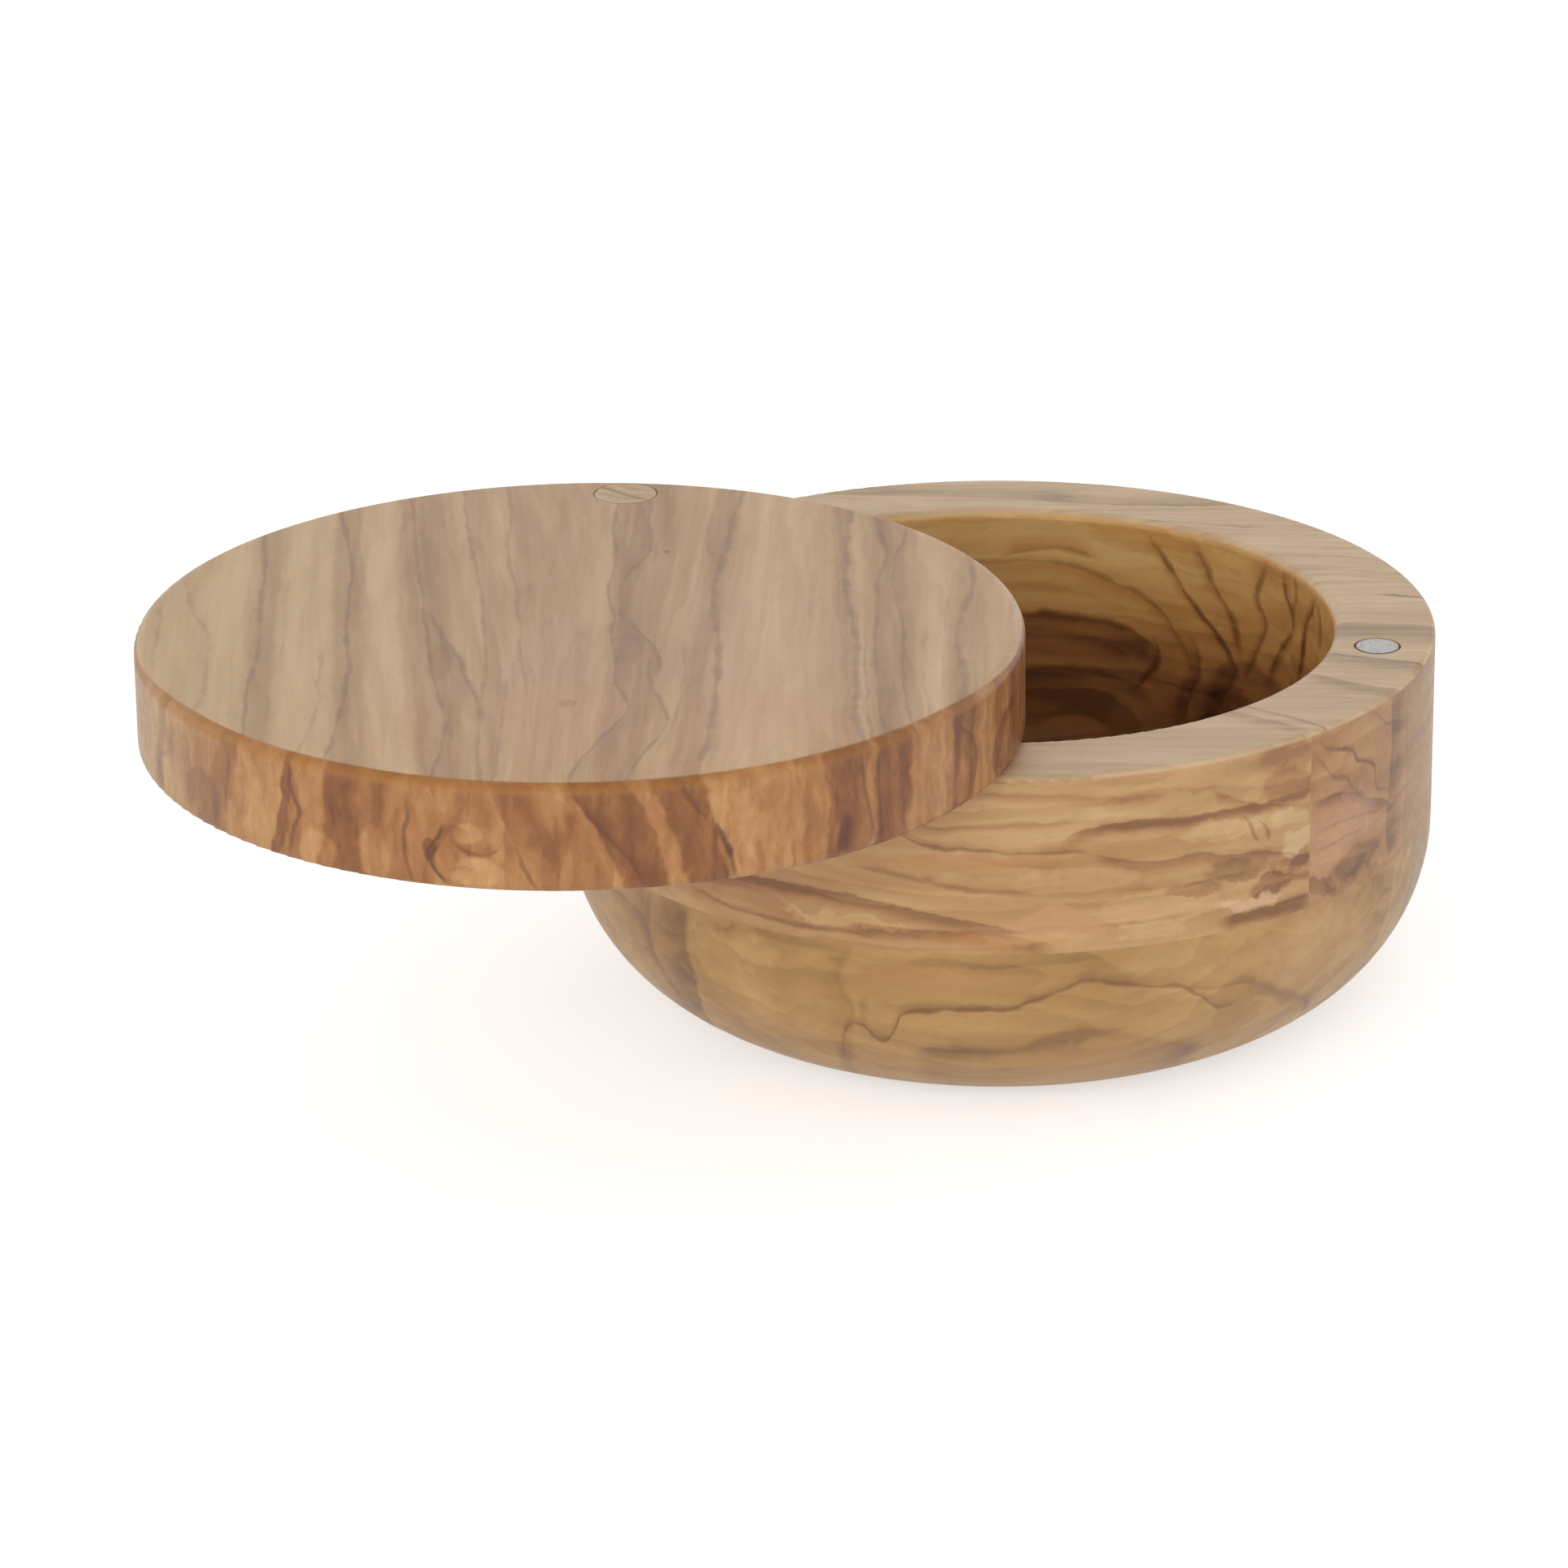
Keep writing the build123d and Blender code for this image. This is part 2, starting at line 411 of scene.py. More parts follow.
def make_rim():
    """Figure on the flat rim, the same across both boards: faint lines from left to right."""
    tree, given, out = start_group(
        "rim figure", {"Place": "Vector", "Vigour": "Float"}, {"Tone": "Float", "Dark": "Float"}
    )
    x, y, z = parted(tree, given["Place"])
    lines = [
        ([(-34, 51), (-20, 50.5), (-8, 49.6), (2, 48.6), (12, 46.4)], 0.6, 0.1, 7.0, 0.34),
        ([(4, 48.2), (11, 46.8), (22, 45.5), (34, 46)], 0.6, 0.35, 5.0, 0.4),
        ([(10, 45.6), (18, 44.6), (32, 44.2)], 0.5, 0.25, 0, 0),
        ([(18, 40), (28, 37.6), (38, 36)], 0.6, 0.3, 1.6, 0.3),
        ([(20, 41.6), (30, 38.8), (44, 37)], 0.5, 0.2, 0, 0),
        ([(34, 25.6), (42, 25.3), (48, 24.2), (57, 22)], 0.6, 0.35, -2.5, 0.2),
        ([(36, 20.4), (42, 19.6), (48, 18.8), (60, 17)], 0.5, 0.3, 0, 0),
        ([(39, 17.6), (46, 16.8), (60, 14.6)], 0.5, 0.25, 0, 0),
        ([(49, 9.6), (53, 9.2), (60, 7)], 0.8, 0.8, 0.8, 0.3),
        ([(36, -1), (46, -1.5), (52, -2), (60, -3)], 0.8, 0.0, -8.0, 0.6),
        ([(39, -11.6), (46, -13.8), (53, -16), (60, -19)], 0.8, 0.6, -5.0, 0.45),
        ([(38, -18), (42, -21.5), (48, -25), (53, -26)], 0.9, 0.2, -4.5, 0.55),
        ([(44, -16), (44.6, -21), (46, -26)], 0.6, 0.2, 0, 0),
        ([(28, -29), (33, -33), (39, -37.4), (44, -42)], 0.8, 0.45, -1.4, 0.3),
        ([(26, -31.6), (33, -36), (40, -41)], 0.7, 0.2, -4.0, 0.35),
        ([(-60, 26), (-48, 24), (-36, 25)], 0.7, 0.4, 2.5, 0.35),
        ([(-60, 5), (-50, 8), (-38, 7)], 0.7, 0.35, 2.5, 0.35),
        ([(-60, -14), (-50, -16), (-40, -13), (-34, -14)], 0.7, 0.4, -2.5, 0.35),
        ([(-52, -33), (-30, -39), (-10, -41)], 0.7, 0.3, -2.5, 0.3),
    ]
    dark, shade = grow(tree, y, x, given["Vigour"], lines)
    growth = rings(tree, given["Place"], (0.02, 0.1, 0.1), (0.0, 0.06, 0.0), 5.0)
    tone = build_up(tree, 0.0, (growth["Shade"], 0.12), (growth["Cloud"], 0.2), (shade, 0.75))
    tree.links.new(tone, out["Tone"])
    tree.links.new(dark, out["Dark"])
    return tree


def make_well():
    """Figure inside the well: ovals on its far side, and steep lines that fall to its right."""
    tree, given, out = start_group(
        "well figure", {"Place": "Vector", "Vigour": "Float"}, {"Dark": "Float", "Shade": "Float"}
    )
    x, y, z = parted(tree, given["Place"])
    turn = degrees(tree, reckon(tree, "ABSOLUTE", y), x)
    far_line = [(120, 40), (104, 41.5), (92, 42.6), (76, 42.2), (68, 40.6), (60, 38), (55, 33.6), (51, 28)]
    near_oval = [(108, 33), (96, 34), (80, 35), (70, 34.6), (64, 33.4), (60.5, 31.4), (59.5, 29.6)]
    ovals = [
        (far_line, 0.9, 0.3, -2.2, 0.3),
        ([(90, 43.4), (84, 44.2), (78, 44.6), (71, 43.2)], 0.8, 0.25, 3.4, 0.5),
        (near_oval, 1.2, 0.55, -4.5, 0.8),
        ([(104, 31.5), (86, 33), (76, 32.4), (68, 31.2), (64, 29.6)], 0.9, 0.3, -2.0, 0.3),
        ([(112, 22), (90, 26), (72, 27.5), (60, 25)], 1.2, 0.3, -3.0, 0.35),
        ([(180, 40), (160, 41.5), (140, 38), (120, 35)], 1.0, 0.4, 3.0, 0.3),
        ([(180, 30), (164, 31), (146, 27), (126, 24)], 1.0, 0.4, -3.0, 0.3),
    ]
    outer = [(49, 62.6), (46.5, 60), (44, 57.4), (41.6, 54.6), (39, 51.4), (36, 46.6), (33, 43), (30, 41)]
    middle = [(49.5, 53), (46.5, 50.6), (44, 49), (41.6, 46.4), (39.6, 43.6), (36.4, 42), (33, 41)]
    hooked = [(50, 33.6), (47, 35.6), (43.4, 37), (40.4, 34.4), (37.4, 35.8), (34, 38), (30, 41)]
    forked = [(50, 29.4), (46.5, 28.6), (44, 26.4), (42, 25.8), (39, 29), (36, 31.4), (31, 34.6)]
    falls = [
        (outer, 1.5, 0.6, 2.6, 0.45),
        (middle, 1.8, 0.5, 2.6, 0.45),
        (hooked, 1.6, 0.5, 2.4, 0.4),
        (forked, 1.7, 0.62, -2.6, 0.5),
        ([(50, 26.8), (47, 24.6), (44.4, 25.6), (42, 25.8)], 1.5, 0.5, 0, 0),
        ([(49.6, 15.4), (46, 18.4), (43, 20.6), (39, 21.4), (33, 24)], 1.9, 0.75, 2.4, 0.5),
        ([(48.6, 15.6), (45, 13.2), (41, 13.8)], 1.4, 0.45, 2.4, 0.4),
        ([(34, 40.6), (29.5, 44), (25, 47), (20, 49)], 2.2, 0.5, 6.0, 0.5),
        ([(36, 54), (31, 51), (26, 53), (20, 56)], 1.7, 0.4, 4.0, 0.4),
        ([(34, 62), (31, 59.8), (28, 61.6), (24, 66)], 1.2, 0.6, 2.0, 0.4),
    ]
    masks = grow(tree, z, turn, given["Vigour"], ovals)
    dark, shade = grow(tree, turn, z, given["Vigour"], falls, masks)
    tree.links.new(dark, out["Dark"])
    tree.links.new(shade, out["Shade"])
    return tree


rim_group = make_rim()
well_group = make_well()

rim_colours = [paint(216, 185, 146), paint(194, 161, 122), paint(162, 134, 102), paint(130, 108, 84)]
rim_line = paint(126, 98, 70)
# the darkest of these colours are reached only deep in the well, as painted shade
well_colours = [
    paint(222, 182, 116),
    paint(203, 151, 87),
    paint(174, 120, 66),
    paint(122, 78, 45),
    paint(52, 26, 19),
]
well_line = paint(88, 50, 24)


def make_bowl_wood(name, colours, line_colour, board, outer_figure, shades, blushes, beyond):
    """One block of the bowl: its own outer figure, and the rim's and the well's shared ones."""
    material = new_material(name)
    tree = material.node_tree
    spot = board_place(tree)
    x, y, z = parted(tree, spot)
    radius = from_axis(tree, x, y)
    loose = wander(tree, wander(tree, spot, 9.0, 1.2), 2.2, 0.8)
    loose_x, loose_y, loose_z = parted(tree, loose)
    ragged_x, ragged_y, ragged_z = parted(tree, wander(tree, wander(tree, spot, 7.0, 6.0), 2.0, 2.6))
    turn = degrees(tree, loose_x, reckon(tree, "ABSOLUTE", loose_y))
    ragged_turn = degrees(tree, ragged_x, reckon(tree, "ABSOLUTE", ragged_y))
    # behind, where the same growth comes out again, it lies further round and lower
    behind = ease(tree, y, 0.0, 34.0)
    course = build_up(tree, turn, (behind, -27.0))
    height = build_up(tree, loose_z, (behind, 3.5))
    ragged_turn = build_up(tree, ragged_turn, (behind, -27.0))
    ragged_z = build_up(tree, ragged_z, (behind, 3.5))
    vigour = vigour_of(tree, spot)
    stretch, slope, count, base_tone = board
    growth = rings(tree, loose, stretch, slope, count)
    figure = build_up(tree, 0.0, (growth["Shade"], 0.14), (growth["Cloud"], 0.24))

    dark, shade = outer_figure(tree, course, height, vigour)
    traced = build_up(tree, base_tone, (figure, 1.0), (shade, 0.6))
    traced = deepen(tree, ragged_z, ragged_turn, traced, shades)
    plain = build_up(tree, base_tone, (figure, 1.6))
    underside = reckon(tree, "MULTIPLY", ease(tree, radius, 34.0, 28.0), ease(tree, z, 2.0, 0.5))
    colour = stain(tree, go_over(tree, underside, traced, plain), colours)
    colour = dab(tree, ragged_z, ragged_turn, colour, blushes)
    # a strip of other growth at the front, towards the board's end, which fades on the end itself
    start, strength, other = beyond
    edge = reckon(tree, "MULTIPLY", ease(tree, turn, start - 0.25, start + 0.25), strength)
    edge = reckon(tree, "MULTIPLY", edge, ease(tree, turn, 86.0, 73.0))
    edge = reckon(tree, "MULTIPLY", edge, ease(tree, y, 12.0, 0.0))
    other_colour = tint(tree, growth["Cloud"], other, line_colour)
    colour = tint(tree, edge, colour, tint(tree, 0.75, other_colour, other))
    colour = tint(tree, dark, colour, line_colour)

    well = place(tree, "Group", {"Place": loose, "Vigour": vigour}, node_tree=well_group).outputs
    # painted shade: the well's tone darkens towards its bottom, from 44 down to 22 mm up
    deep = ease(tree, z, 44.0, 22.0)
    near_end = ease(tree, x, 12.0, 44.0)
    well_tone = build_up(
        tree, -0.04, (figure, 0.7), (well["Shade"], 0.4), (deep, 0.6), (near_end, 0.19)
    )
    well_colour = tint(tree, well["Dark"], stain(tree, well_tone, well_colours), well_line)
    inside = reckon(tree, "MULTIPLY", ease(tree, radius, 49.0, 48.0), ease(tree, z, 8.0, 9.0))
    colour = tint(tree, inside, colour, well_colour)

    rim = place(tree, "Group", {"Place": loose, "Vigour": vigour}, node_tree=rim_group).outputs
    rim_dark = reckon(tree, "MULTIPLY", rim["Dark"], 0.75)
    rim_colour = tint(tree, rim_dark, stain(tree, rim["Tone"], rim_colours), rim_line)
    colour = tint(tree, ease(tree, z, 49.3, 49.7), colour, rim_colour)
    finish_wood(material, colour, loose, (0.04, 1.0, 1.0), (0.5, 3.0, 3.0))
    return material


def floor_figure(tree, turn, height, vigour):
    """Veins on the outside of the floor block."""
    arch = [
        *[(-25, 5), (-22.5, 8), (-21, 12), (-19.5, 14.6), (-18, 15), (-16.5, 13.2), (-15, 13)],
        *[(-13.5, 15.4), (-12, 17.8), (-8, 18.4), (-2, 18.8), (2, 18.9), (4, 20), (8, 21.4)],
        *[(11, 22.4), (15, 21.8), (20, 20.8), (24, 20.2), (27, 18), (30, 15.8), (34, 16)],
    ]
    lens = [(-13, 10), (-8, 12), (-2, 11.8), (3, 12), (6, 13.8), (10, 15), (16, 14), (20, 12.4), (32, 8)]
    lines = [
        (arch, 0.75, 0.7, 1.8, 0.28),
        ([(33, 18.6), (37, 16.6), (41, 14.2), (46, 12.2), (50, 9), (53, 6)], 1.9, 0.45, 2.0, 0.3),
        (lens, 0.5, 0.06, -12.0, 0.5),
        ([(24, 20.4), (28, 19), (33, 18.6), (37, 16.8)], 0.6, 0.3, 1.6, 0.2),
        ([(-44, 24), (-30, 25.4), (-10, 24.6), (14, 25.4)], 0.5, 0.0, 1.5, 0.2),
        ([(-50, 22), (-70, 24), (-90, 20)], 0.8, 0.4, -2.5, 0.3),
        ([(60, 12), (75, 9), (90, 12)], 0.8, 0.3, -2.5, 0.3),
    ]
    stems = [
        ([(28, -17), (22, -20.4), (16, -19), (10, -22.6)], 1.6, 0.18, -5.0, 0.3),
        ([(15, -18), (18, -17.4), (20, -17)], 1.4, 0.3, 0, 0),
        ([(14, -20), (10, -21.6), (6, -23), (2, -25)], 2.4, 0.34, 2.0, 0.2),
        ([(28, -43), (22, -44), (16, -44), (9, -47), (2, -51)], 0.9, 0.2, -9.0, 0.75),
        ([(28, -50), (18, -52), (12, -50), (2, -53)], 1.3, 0.4, -3.0, 0.4),
        ([(28, 63), (20, 62), (12, 60)], 1.2, 0.1, -5.0, 0.3),
    ]
    return grow(tree, turn, height, vigour, stems, grow(tree, height, turn, vigour, lines))


floor_colours = [paint(210, 172, 117), paint(190, 150, 95), paint(168, 127, 75), paint(124, 91, 55)]
floor_shades = [
    ((-33, 21), (4, 7), -0.14),
    ((3, 25), (16, 2), 0.08),
    ((22, 17), (9, 3), -0.06),
    ((4, 5), (24, 6), -0.16),
    ((38, 22), (9, 3.5), -0.1),
    ((58, 24), (6, 2.4), 0.16),
]
floor_blushes = [
    ((-8, 23), (10, 2.5), 0.3, paint(190, 136, 84)),
    ((46, 20), (12, 7), 0.3, paint(200, 158, 116)),
    ((-52, 16), (6, 12), 0.35, paint(150, 112, 78)),
    ((12, 7), (18, 6), 0.45, paint(188, 144, 88)),
]
floor_board = ((0.014, 0.09, 0.08), (0.0, 0.0, 0.03), 6.0, 0.29)
floor_wood = make_bowl_wood(
    "floor_wood",
    floor_colours,
    paint(120, 82, 48),
    floor_board,
    floor_figure,
    floor_shades,
    floor_blushes,
    (69.5, 0.6, paint(150, 126, 104)),
)
dress("bowl_floor_block", floor_wood)

# ---------------------------------------------------------------- bowl wall block
# The long board of the bowl's upper layer, glued on the floor block: most of the straight wall
# and of the flat rim. Its figure runs level, with an orange band low down and a spalted patch.


def wall_figure(tree, turn, height, vigour):
    """Veins on the outside of the wall block."""
    upper = [(-40, 43), (-13, 42.4), (-10, 41.1), (-7, 40.6), (-3, 40.4), (5, 40), (9, 40), (12, 39.4)]
    second = [(11, 39.8), (16, 38.2), (20, 37.6), (26, 37.8), (30, 36.6), (36, 36), (40, 34.6), (46, 32.6)]
    lines = [
        (upper, 0.65, 0.65, 1.3, 0.4),
        (second, 0.6, 0.3, -2.2, 0.55),
        ([(7, 40.4), (9, 42), (12, 43), (17, 43.3), (24, 42.9), (45, 42.6)], 0.6, 0.15, -2.0, 0.75),
        ([(-12, 43.8), (-5, 43.5), (4, 43.8), (12, 44.6)], 0.6, 0.12, -0.9, 0.3),
        ([(27, 46), (31, 44), (36, 42)], 0.9, 0.3, -2.0, 0.4),
        ([(-6, 48), (5, 47.7), (12, 47), (22, 46.4)], 0.8, 0.15, -1.6, 0.35),
        ([(-20, 37), (-12, 36.6), (-6, 35.4), (0, 34.8), (6, 34.5)], 0.7, 0.4, 1.0, 0.25),
        ([(-42, 32.6), (-28, 33.6), (-18, 33.2), (-10, 32.2), (-2, 30.6), (4, 28.8)], 0.6, 0.12, -2.4, 0.7),
        ([(-44, 29.6), (-34, 28.4), (-26, 28), (-18, 28.2), (-14, 27.6)], 0.7, 0.5, 0.9, 0.3),
        ([(-20, 29.4), (-10, 29.6), (0, 29), (8, 27.4)], 0.6, 0.1, -2.6, 0.65),
        ([(14, 34.4), (24, 34.2), (34, 34)], 0.6, 0.1, -0.8, 0.2),
        ([(12, 30), (18, 29.6), (26, 30)], 0.7, 0.2, 0.8, 0.3),
        ([(28, 28.2), (32, 28.6), (38, 28.4), (46, 28.6)], 0.7, 0.3, -3.0, 0.95),
        ([(36, 33.4), (40, 31.6), (46, 30.8)], 0.8, 0.45, 1.2, 0.5),
        ([(-90, 44), (-70, 45), (-40, 43)], 0.8, 0.4, -2.5, 0.3),
        ([(-90, 35), (-66, 37), (-40, 36)], 0.8, 0.4, -2.5, 0.3),
    ]
    stems = [
        ([(42, 31.4), (40.4, 33.4), (39, 33.8), (37, 35.2)], 0.7, 0.55, 0, 0),
        ([(41, 34), (39, 36), (37, 36.4)], 0.6, 0.5, 0, 0),
        ([(37, 32), (34.6, 32.6), (32.6, 31.6)], 1.4, 0.3, 0, 0),
        ([(34.6, 37), (32, 37.6), (29.4, 39)], 1.2, 0.3, 0, 0),
    ]
    return grow(tree, turn, height, vigour, stems, grow(tree, height, turn, vigour, lines))


wall_colours = [paint(215, 181, 131), paint(197, 157, 108), paint(174, 129, 83), paint(132, 90, 56)]
wall_shades = [
    ((39, 44), (5, 2.4), 0.28),
    ((39, 48), (5, 3), 0.22),
    ((-3, 38), (13, 2), 0.16),
    ((20, 31), (9, 3), -0.16),
    ((20, 45), (10, 1.3), -0.12),
    ((-20, 30.2), (10, 0.9), -0.25),
    ((31, 34.2), (4.6, 1.5), 0.32),
    ((25, 32.4), (4, 1.2), 0.28),
    ((37, 31.6), (3.6, 1.4), 0.38),
    ((41.6, 33.8), (2.2, 1.6), 0.3),
    ((30, 40.4), (7, 1.5), -0.2),
    ((40, 39.4), (3, 1.4), -0.25),
    ((34, 29.6), (5, 1), -0.2),
]
wall_blushes = [
    ((39, 44), (5, 2.2), 0.24, paint(186, 130, 78)),
    ((0, 28.4), (9, 1.2), 0.35, paint(196, 134, 70)),
    ((-4, 38.4), (12, 1.6), 0.25, paint(204, 142, 86)),
    ((8, 30), (12, 2.4), 0.3, paint(220, 166, 124)),
    ((31, 34.4), (5, 1.6), 0.35, paint(158, 124, 80)),
    ((41, 35.8), (3, 1.2), 0.5, paint(222, 192, 148)),
    ((34, 29.8), (6, 1), 0.4, paint(224, 186, 150)),
]
wall_board = ((0.014, 0.04, 0.12), (0.0, 0.0, 0.04), 6.0, 0.27)
wall_wood = make_bowl_wood(
    "wall_wood",
    wall_colours,
    paint(130, 84, 46),
    wall_board,
    wall_figure,
    wall_shades,
    wall_blushes,
    (95.0, 0.0, paint(214, 180, 140)),
)
dress("bowl_wall_block", wall_wood)

# ---------------------------------------------------------------- bowl end block
# A short block of the same wood, glued to the long board's end before the bowl was turned. It
# is pinker, with thin stepped veins that fall to the right, and ends in pale sapwood.


def end_figure(tree, turn, height, vigour):
    """Veins on the outside of the end block."""
    stepped = [
        *[(44, 50), (46, 47.6), (49, 46.5), (51.4, 45.8), (52.8, 44), (56, 42.6), (57, 41.6)],
        *[(57.6, 38.6), (60, 37.4), (62.4, 35.4)],
    ]
    beside = [(43, 48), (45.6, 45.4), (47.6, 43), (50.6, 41.8), (51.6, 40.2), (54, 38.8), (57, 37.8)]
    lines = [
        (stepped, 0.7, 0.75, 1.0, 0.2),
        (beside, 1.1, 0.4, 1.0, 0.2),
        ([(43, 40.3), (48, 40.5), (51.4, 40), (56, 37.6), (60, 36), (64, 33.6)], 0.6, 0.25, -2.2, 0.55),
        ([(43, 36), (50, 36.2), (56, 35.6), (61, 34)], 0.6, 0.3, 0, 0),
        ([(44, 33.4), (50, 34), (57, 33.8)], 0.5, 0.25, 0, 0),
        ([(55, 49.6), (57.6, 48), (60, 46.2), (62, 45.8)], 0.7, 0.4, 0, 0),
    ]
    stems = [
        ([(52, 61), (44, 61.4), (38, 61), (32, 60.4), (26, 62)], 0.6, 0.1, 5.6, 0.45),
        ([(52, 66.4), (40, 66.4), (26, 66.4)], 0.6, 0.3, 0, 0),
    ]
    return grow(tree, turn, height, vigour, stems, grow(tree, height, turn, vigour, lines))


end_colours = [paint(214, 172, 128), paint(196, 150, 104), paint(168, 122, 80), paint(120, 84, 54)]
end_shades = [
    ((46.4, 28.4), (3.6, 1.4), 0.2),
    ((54, 29.8), (4.4, 2.2), 0.22),
    ((51, 27.8), (5, 1.1), 0.2),
    ((60, 29), (4, 2.5), 0.15),
    ((48, 44), (5, 3), -0.08),
]
end_blushes = [
    ((49, 36.4), (9, 4), 0.36, paint(208, 162, 134)),
    ((47, 39), (5, 1.4), 0.28, paint(186, 126, 88)),
    ((47, 31.6), (4, 2.4), 0.3, paint(212, 166, 136)),
]
end_board = ((0.05, 0.03, 0.12), (0.0, 0.0, 0.03), 5.0, 0.4)
end_wood = make_bowl_wood(
    "end_wood",
    end_colours,
    paint(114, 76, 48),
    end_board,
    end_figure,
    end_shades,
    end_blushes,
    (66.5, 0.85, paint(168, 132, 84)),
)
dress("bowl_end_block", end_wood)

# ---------------------------------------------------------------- rim magnet
# A 6 mm nickel-plated disc, glued flush into a pocket in the rim. The plating is satin, with
# faint rubbing marks from the lid's own magnet, and its bevelled edge is painted darker, for glue
# and for painted shade in the bevel's groove.


def make_metal(name, colour, roughness, scratch):
    """Satin metal with a fine unevenness in its gloss, and the shader's colour for more work."""
    material = new_material(name)
    tree = material.node_tree
    fine = place(tree, "TexNoise", {"Vector": board_place(tree), "Scale": scratch, "Detail": 3.0})
    worn = ease(tree, fine.outputs[0], 0.35, 0.7)
    shader = tree.nodes["Principled BSDF"]
    gloss = ease(tree, worn, 0.0, 1.0, roughness - 0.05, roughness + 0.08)
    tree.links.new(gloss, shader.inputs["Roughness"])
    shader.inputs["Metallic"].default_value = 1.0
    dulled = tint(tree, reckon(tree, "MULTIPLY", worn, 0.3), colour, paint(150, 146, 140))
    tree.links.new(dulled, shader.inputs["Base Color"])
    return material, dulled


magnet_low, magnet_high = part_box("rim_magnet")
magnet_centre = (magnet_low + magnet_high) / 2
magnet_plating, plating_colour = make_metal("magnet_plating", paint(180, 178, 176), 0.32, 1.5)
plating_tree = magnet_plating.node_tree
# painted shade and glue: each disc's outer ring, its bevel, goes over to a dark grey-brown
edge_masks = []
for disc in ("rim_magnet", "lid_magnet"):
    disc_low, disc_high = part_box(disc)
    disc_x, disc_y, disc_z = parted(plating_tree, board_place(plating_tree, (disc_low + disc_high) / 2))
    edge_masks.append(ease(plating_tree, from_axis(plating_tree, disc_x, disc_y), 2.5, 2.85))
bevel_glue_and_shade = reckon(plating_tree, "MINIMUM", *edge_masks)
plating_tree.links.new(
    tint(plating_tree, bevel_glue_and_shade, plating_colour, paint(96, 88, 78)),
    plating_tree.nodes["Principled BSDF"].inputs["Base Color"],
)
dress("rim_magnet", magnet_plating)

# ---------------------------------------------------------------- pivot screw and washers
# A zinc-plated pan-head wood screw holds the lid, its rolled thread cut into the bowl's wall. It
# bears on a steel washer under the plug, and a thin nylon washer keeps lid and rim from rubbing.

screw_steel, steel_colour = make_metal("screw_steel", paint(196, 198, 200), 0.34, 2.5)
dress("pivot_screw", screw_steel)
dress("head_washer", screw_steel)


def make_thread(sizes):
    """A sharp ridge wound round the screw's core, which it follows in to the point."""
    tree = bpy.data.node_groups.new("screw_thread", "GeometryNodeTree")
    for size in sizes:
        tree.interface.new_socket(name=size, in_out="INPUT", socket_type="NodeSocketFloat")
    tree.interface.new_socket(name="Steel", in_out="INPUT", socket_type="NodeSocketMaterial")
    tree.interface.new_socket(name="Thread", in_out="OUTPUT", socket_type="NodeSocketGeometry")
    given = tree.nodes.new("NodeGroupInput").outputs
    winding = {
        "Resolution": 32,
        "Rotations": reckon(tree, "DIVIDE", given["Length"], given["Pitch"]),
        "Start Radius": 1.0,
        "End Radius": 1.0,
        "Height": given["Length"],
    }
    thread = place(tree, "CurveSpiral", winding, family="GeometryNode").outputs[0]
    x, y, z = parted(tree, place(tree, "InputPosition", family="GeometryNode").outputs[0])
    core = {
        "Value": z,
        "From Min": 0.0,
        "From Max": given["Point length"],
        "To Min": given["Tip radius"],
        "To Max": given["Core radius"],
    }
    core = place(tree, "MapRange", core).outputs[0]
    x = reckon(tree, "MULTIPLY", x, core)
    y = reckon(tree, "MULTIPLY", y, core)
    wound = {"Geometry": thread, "Position": place(tree, "CombineXYZ", {0: x, 1: y, 2: z}).outputs[0]}
    thread = place(tree, "SetPosition", wound, family="GeometryNode").outputs[0]
    thread = place(tree, "SetCurveNormal", {"Curve": thread}, family="GeometryNode", mode="Z_UP").outputs[0]
    share = place(tree, "SplineParameter", family="GeometryNode").outputs["Factor"]
    full = reckon(tree, "MINIMUM", ease(tree, share, 0.0, 0.1, 0.1), ease(tree, share, 1.0, 0.92, 0.1))
    thread = {"Curve": thread, "Radius": full}
    thread = place(tree, "SetCurveRadius", thread, family="GeometryNode").outputs[0]
    ridge = {"Resolution": 3, "Radius": given["Ridge height"]}
    ridge = place(tree, "CurvePrimitiveCircle", ridge, family="GeometryNode").outputs[0]
    outwards = {"Geometry": ridge, "Rotation": (0.0, 0.0, math.pi)}
    ridge = place(tree, "Transform", outwards, family="GeometryNode").outputs[0]
    swept = {"Curve": thread, "Profile Curve": ridge, "Scale": full, "Fill Caps": True}
    thread = place(tree, "CurveToMesh", swept, family="GeometryNode").outputs[0]
    thread = place(tree, "RealizeInstances", {0: thread}, family="GeometryNode").outputs[0]
    steel = {"Geometry": thread, "Material": given["Steel"]}
    steel = place(tree, "SetMaterial", steel, family="GeometryNode").outputs[0]
    tree.links.new(steel, tree.nodes.new("NodeGroupOutput").inputs[0])
    return tree


screw_low, screw_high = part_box("pivot_screw")
thread_sizes = {
    "Length": 14.2 * mm,
    "Pitch": 1.8 * mm,
    "Core radius": 1.6 * mm,
    "Tip radius": 0.4 * mm,
    "Point length": 4.0 * mm,
    "Ridge height": 0.4 * mm,
}
thread = bpy.data.objects.new("screw_thread", bpy.data.meshes.new("screw_thread"))
bpy.context.scene.collection.objects.link(thread)
winder = thread.modifiers.new("winder", "NODES")
winder.node_group = make_thread(thread_sizes)
for socket in winder.node_group.interface.items_tree:
    if socket.in_out == "INPUT":
        winder[socket.identifier] = {**thread_sizes, "Steel": screw_steel}[socket.name]
wound_thread = thread.evaluated_get(bpy.context.evaluated_depsgraph_get())
thread.data = bpy.data.meshes.new_from_object(wound_thread)
thread.modifiers.clear()
thread_lift = 0.2 * mm
thread_start = (screw_low + screw_high) / 2
thread_start.z = screw_low.z + thread_lift
thread.data.transform(Matrix.Translation(thread_start))
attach(thread, "bowl")

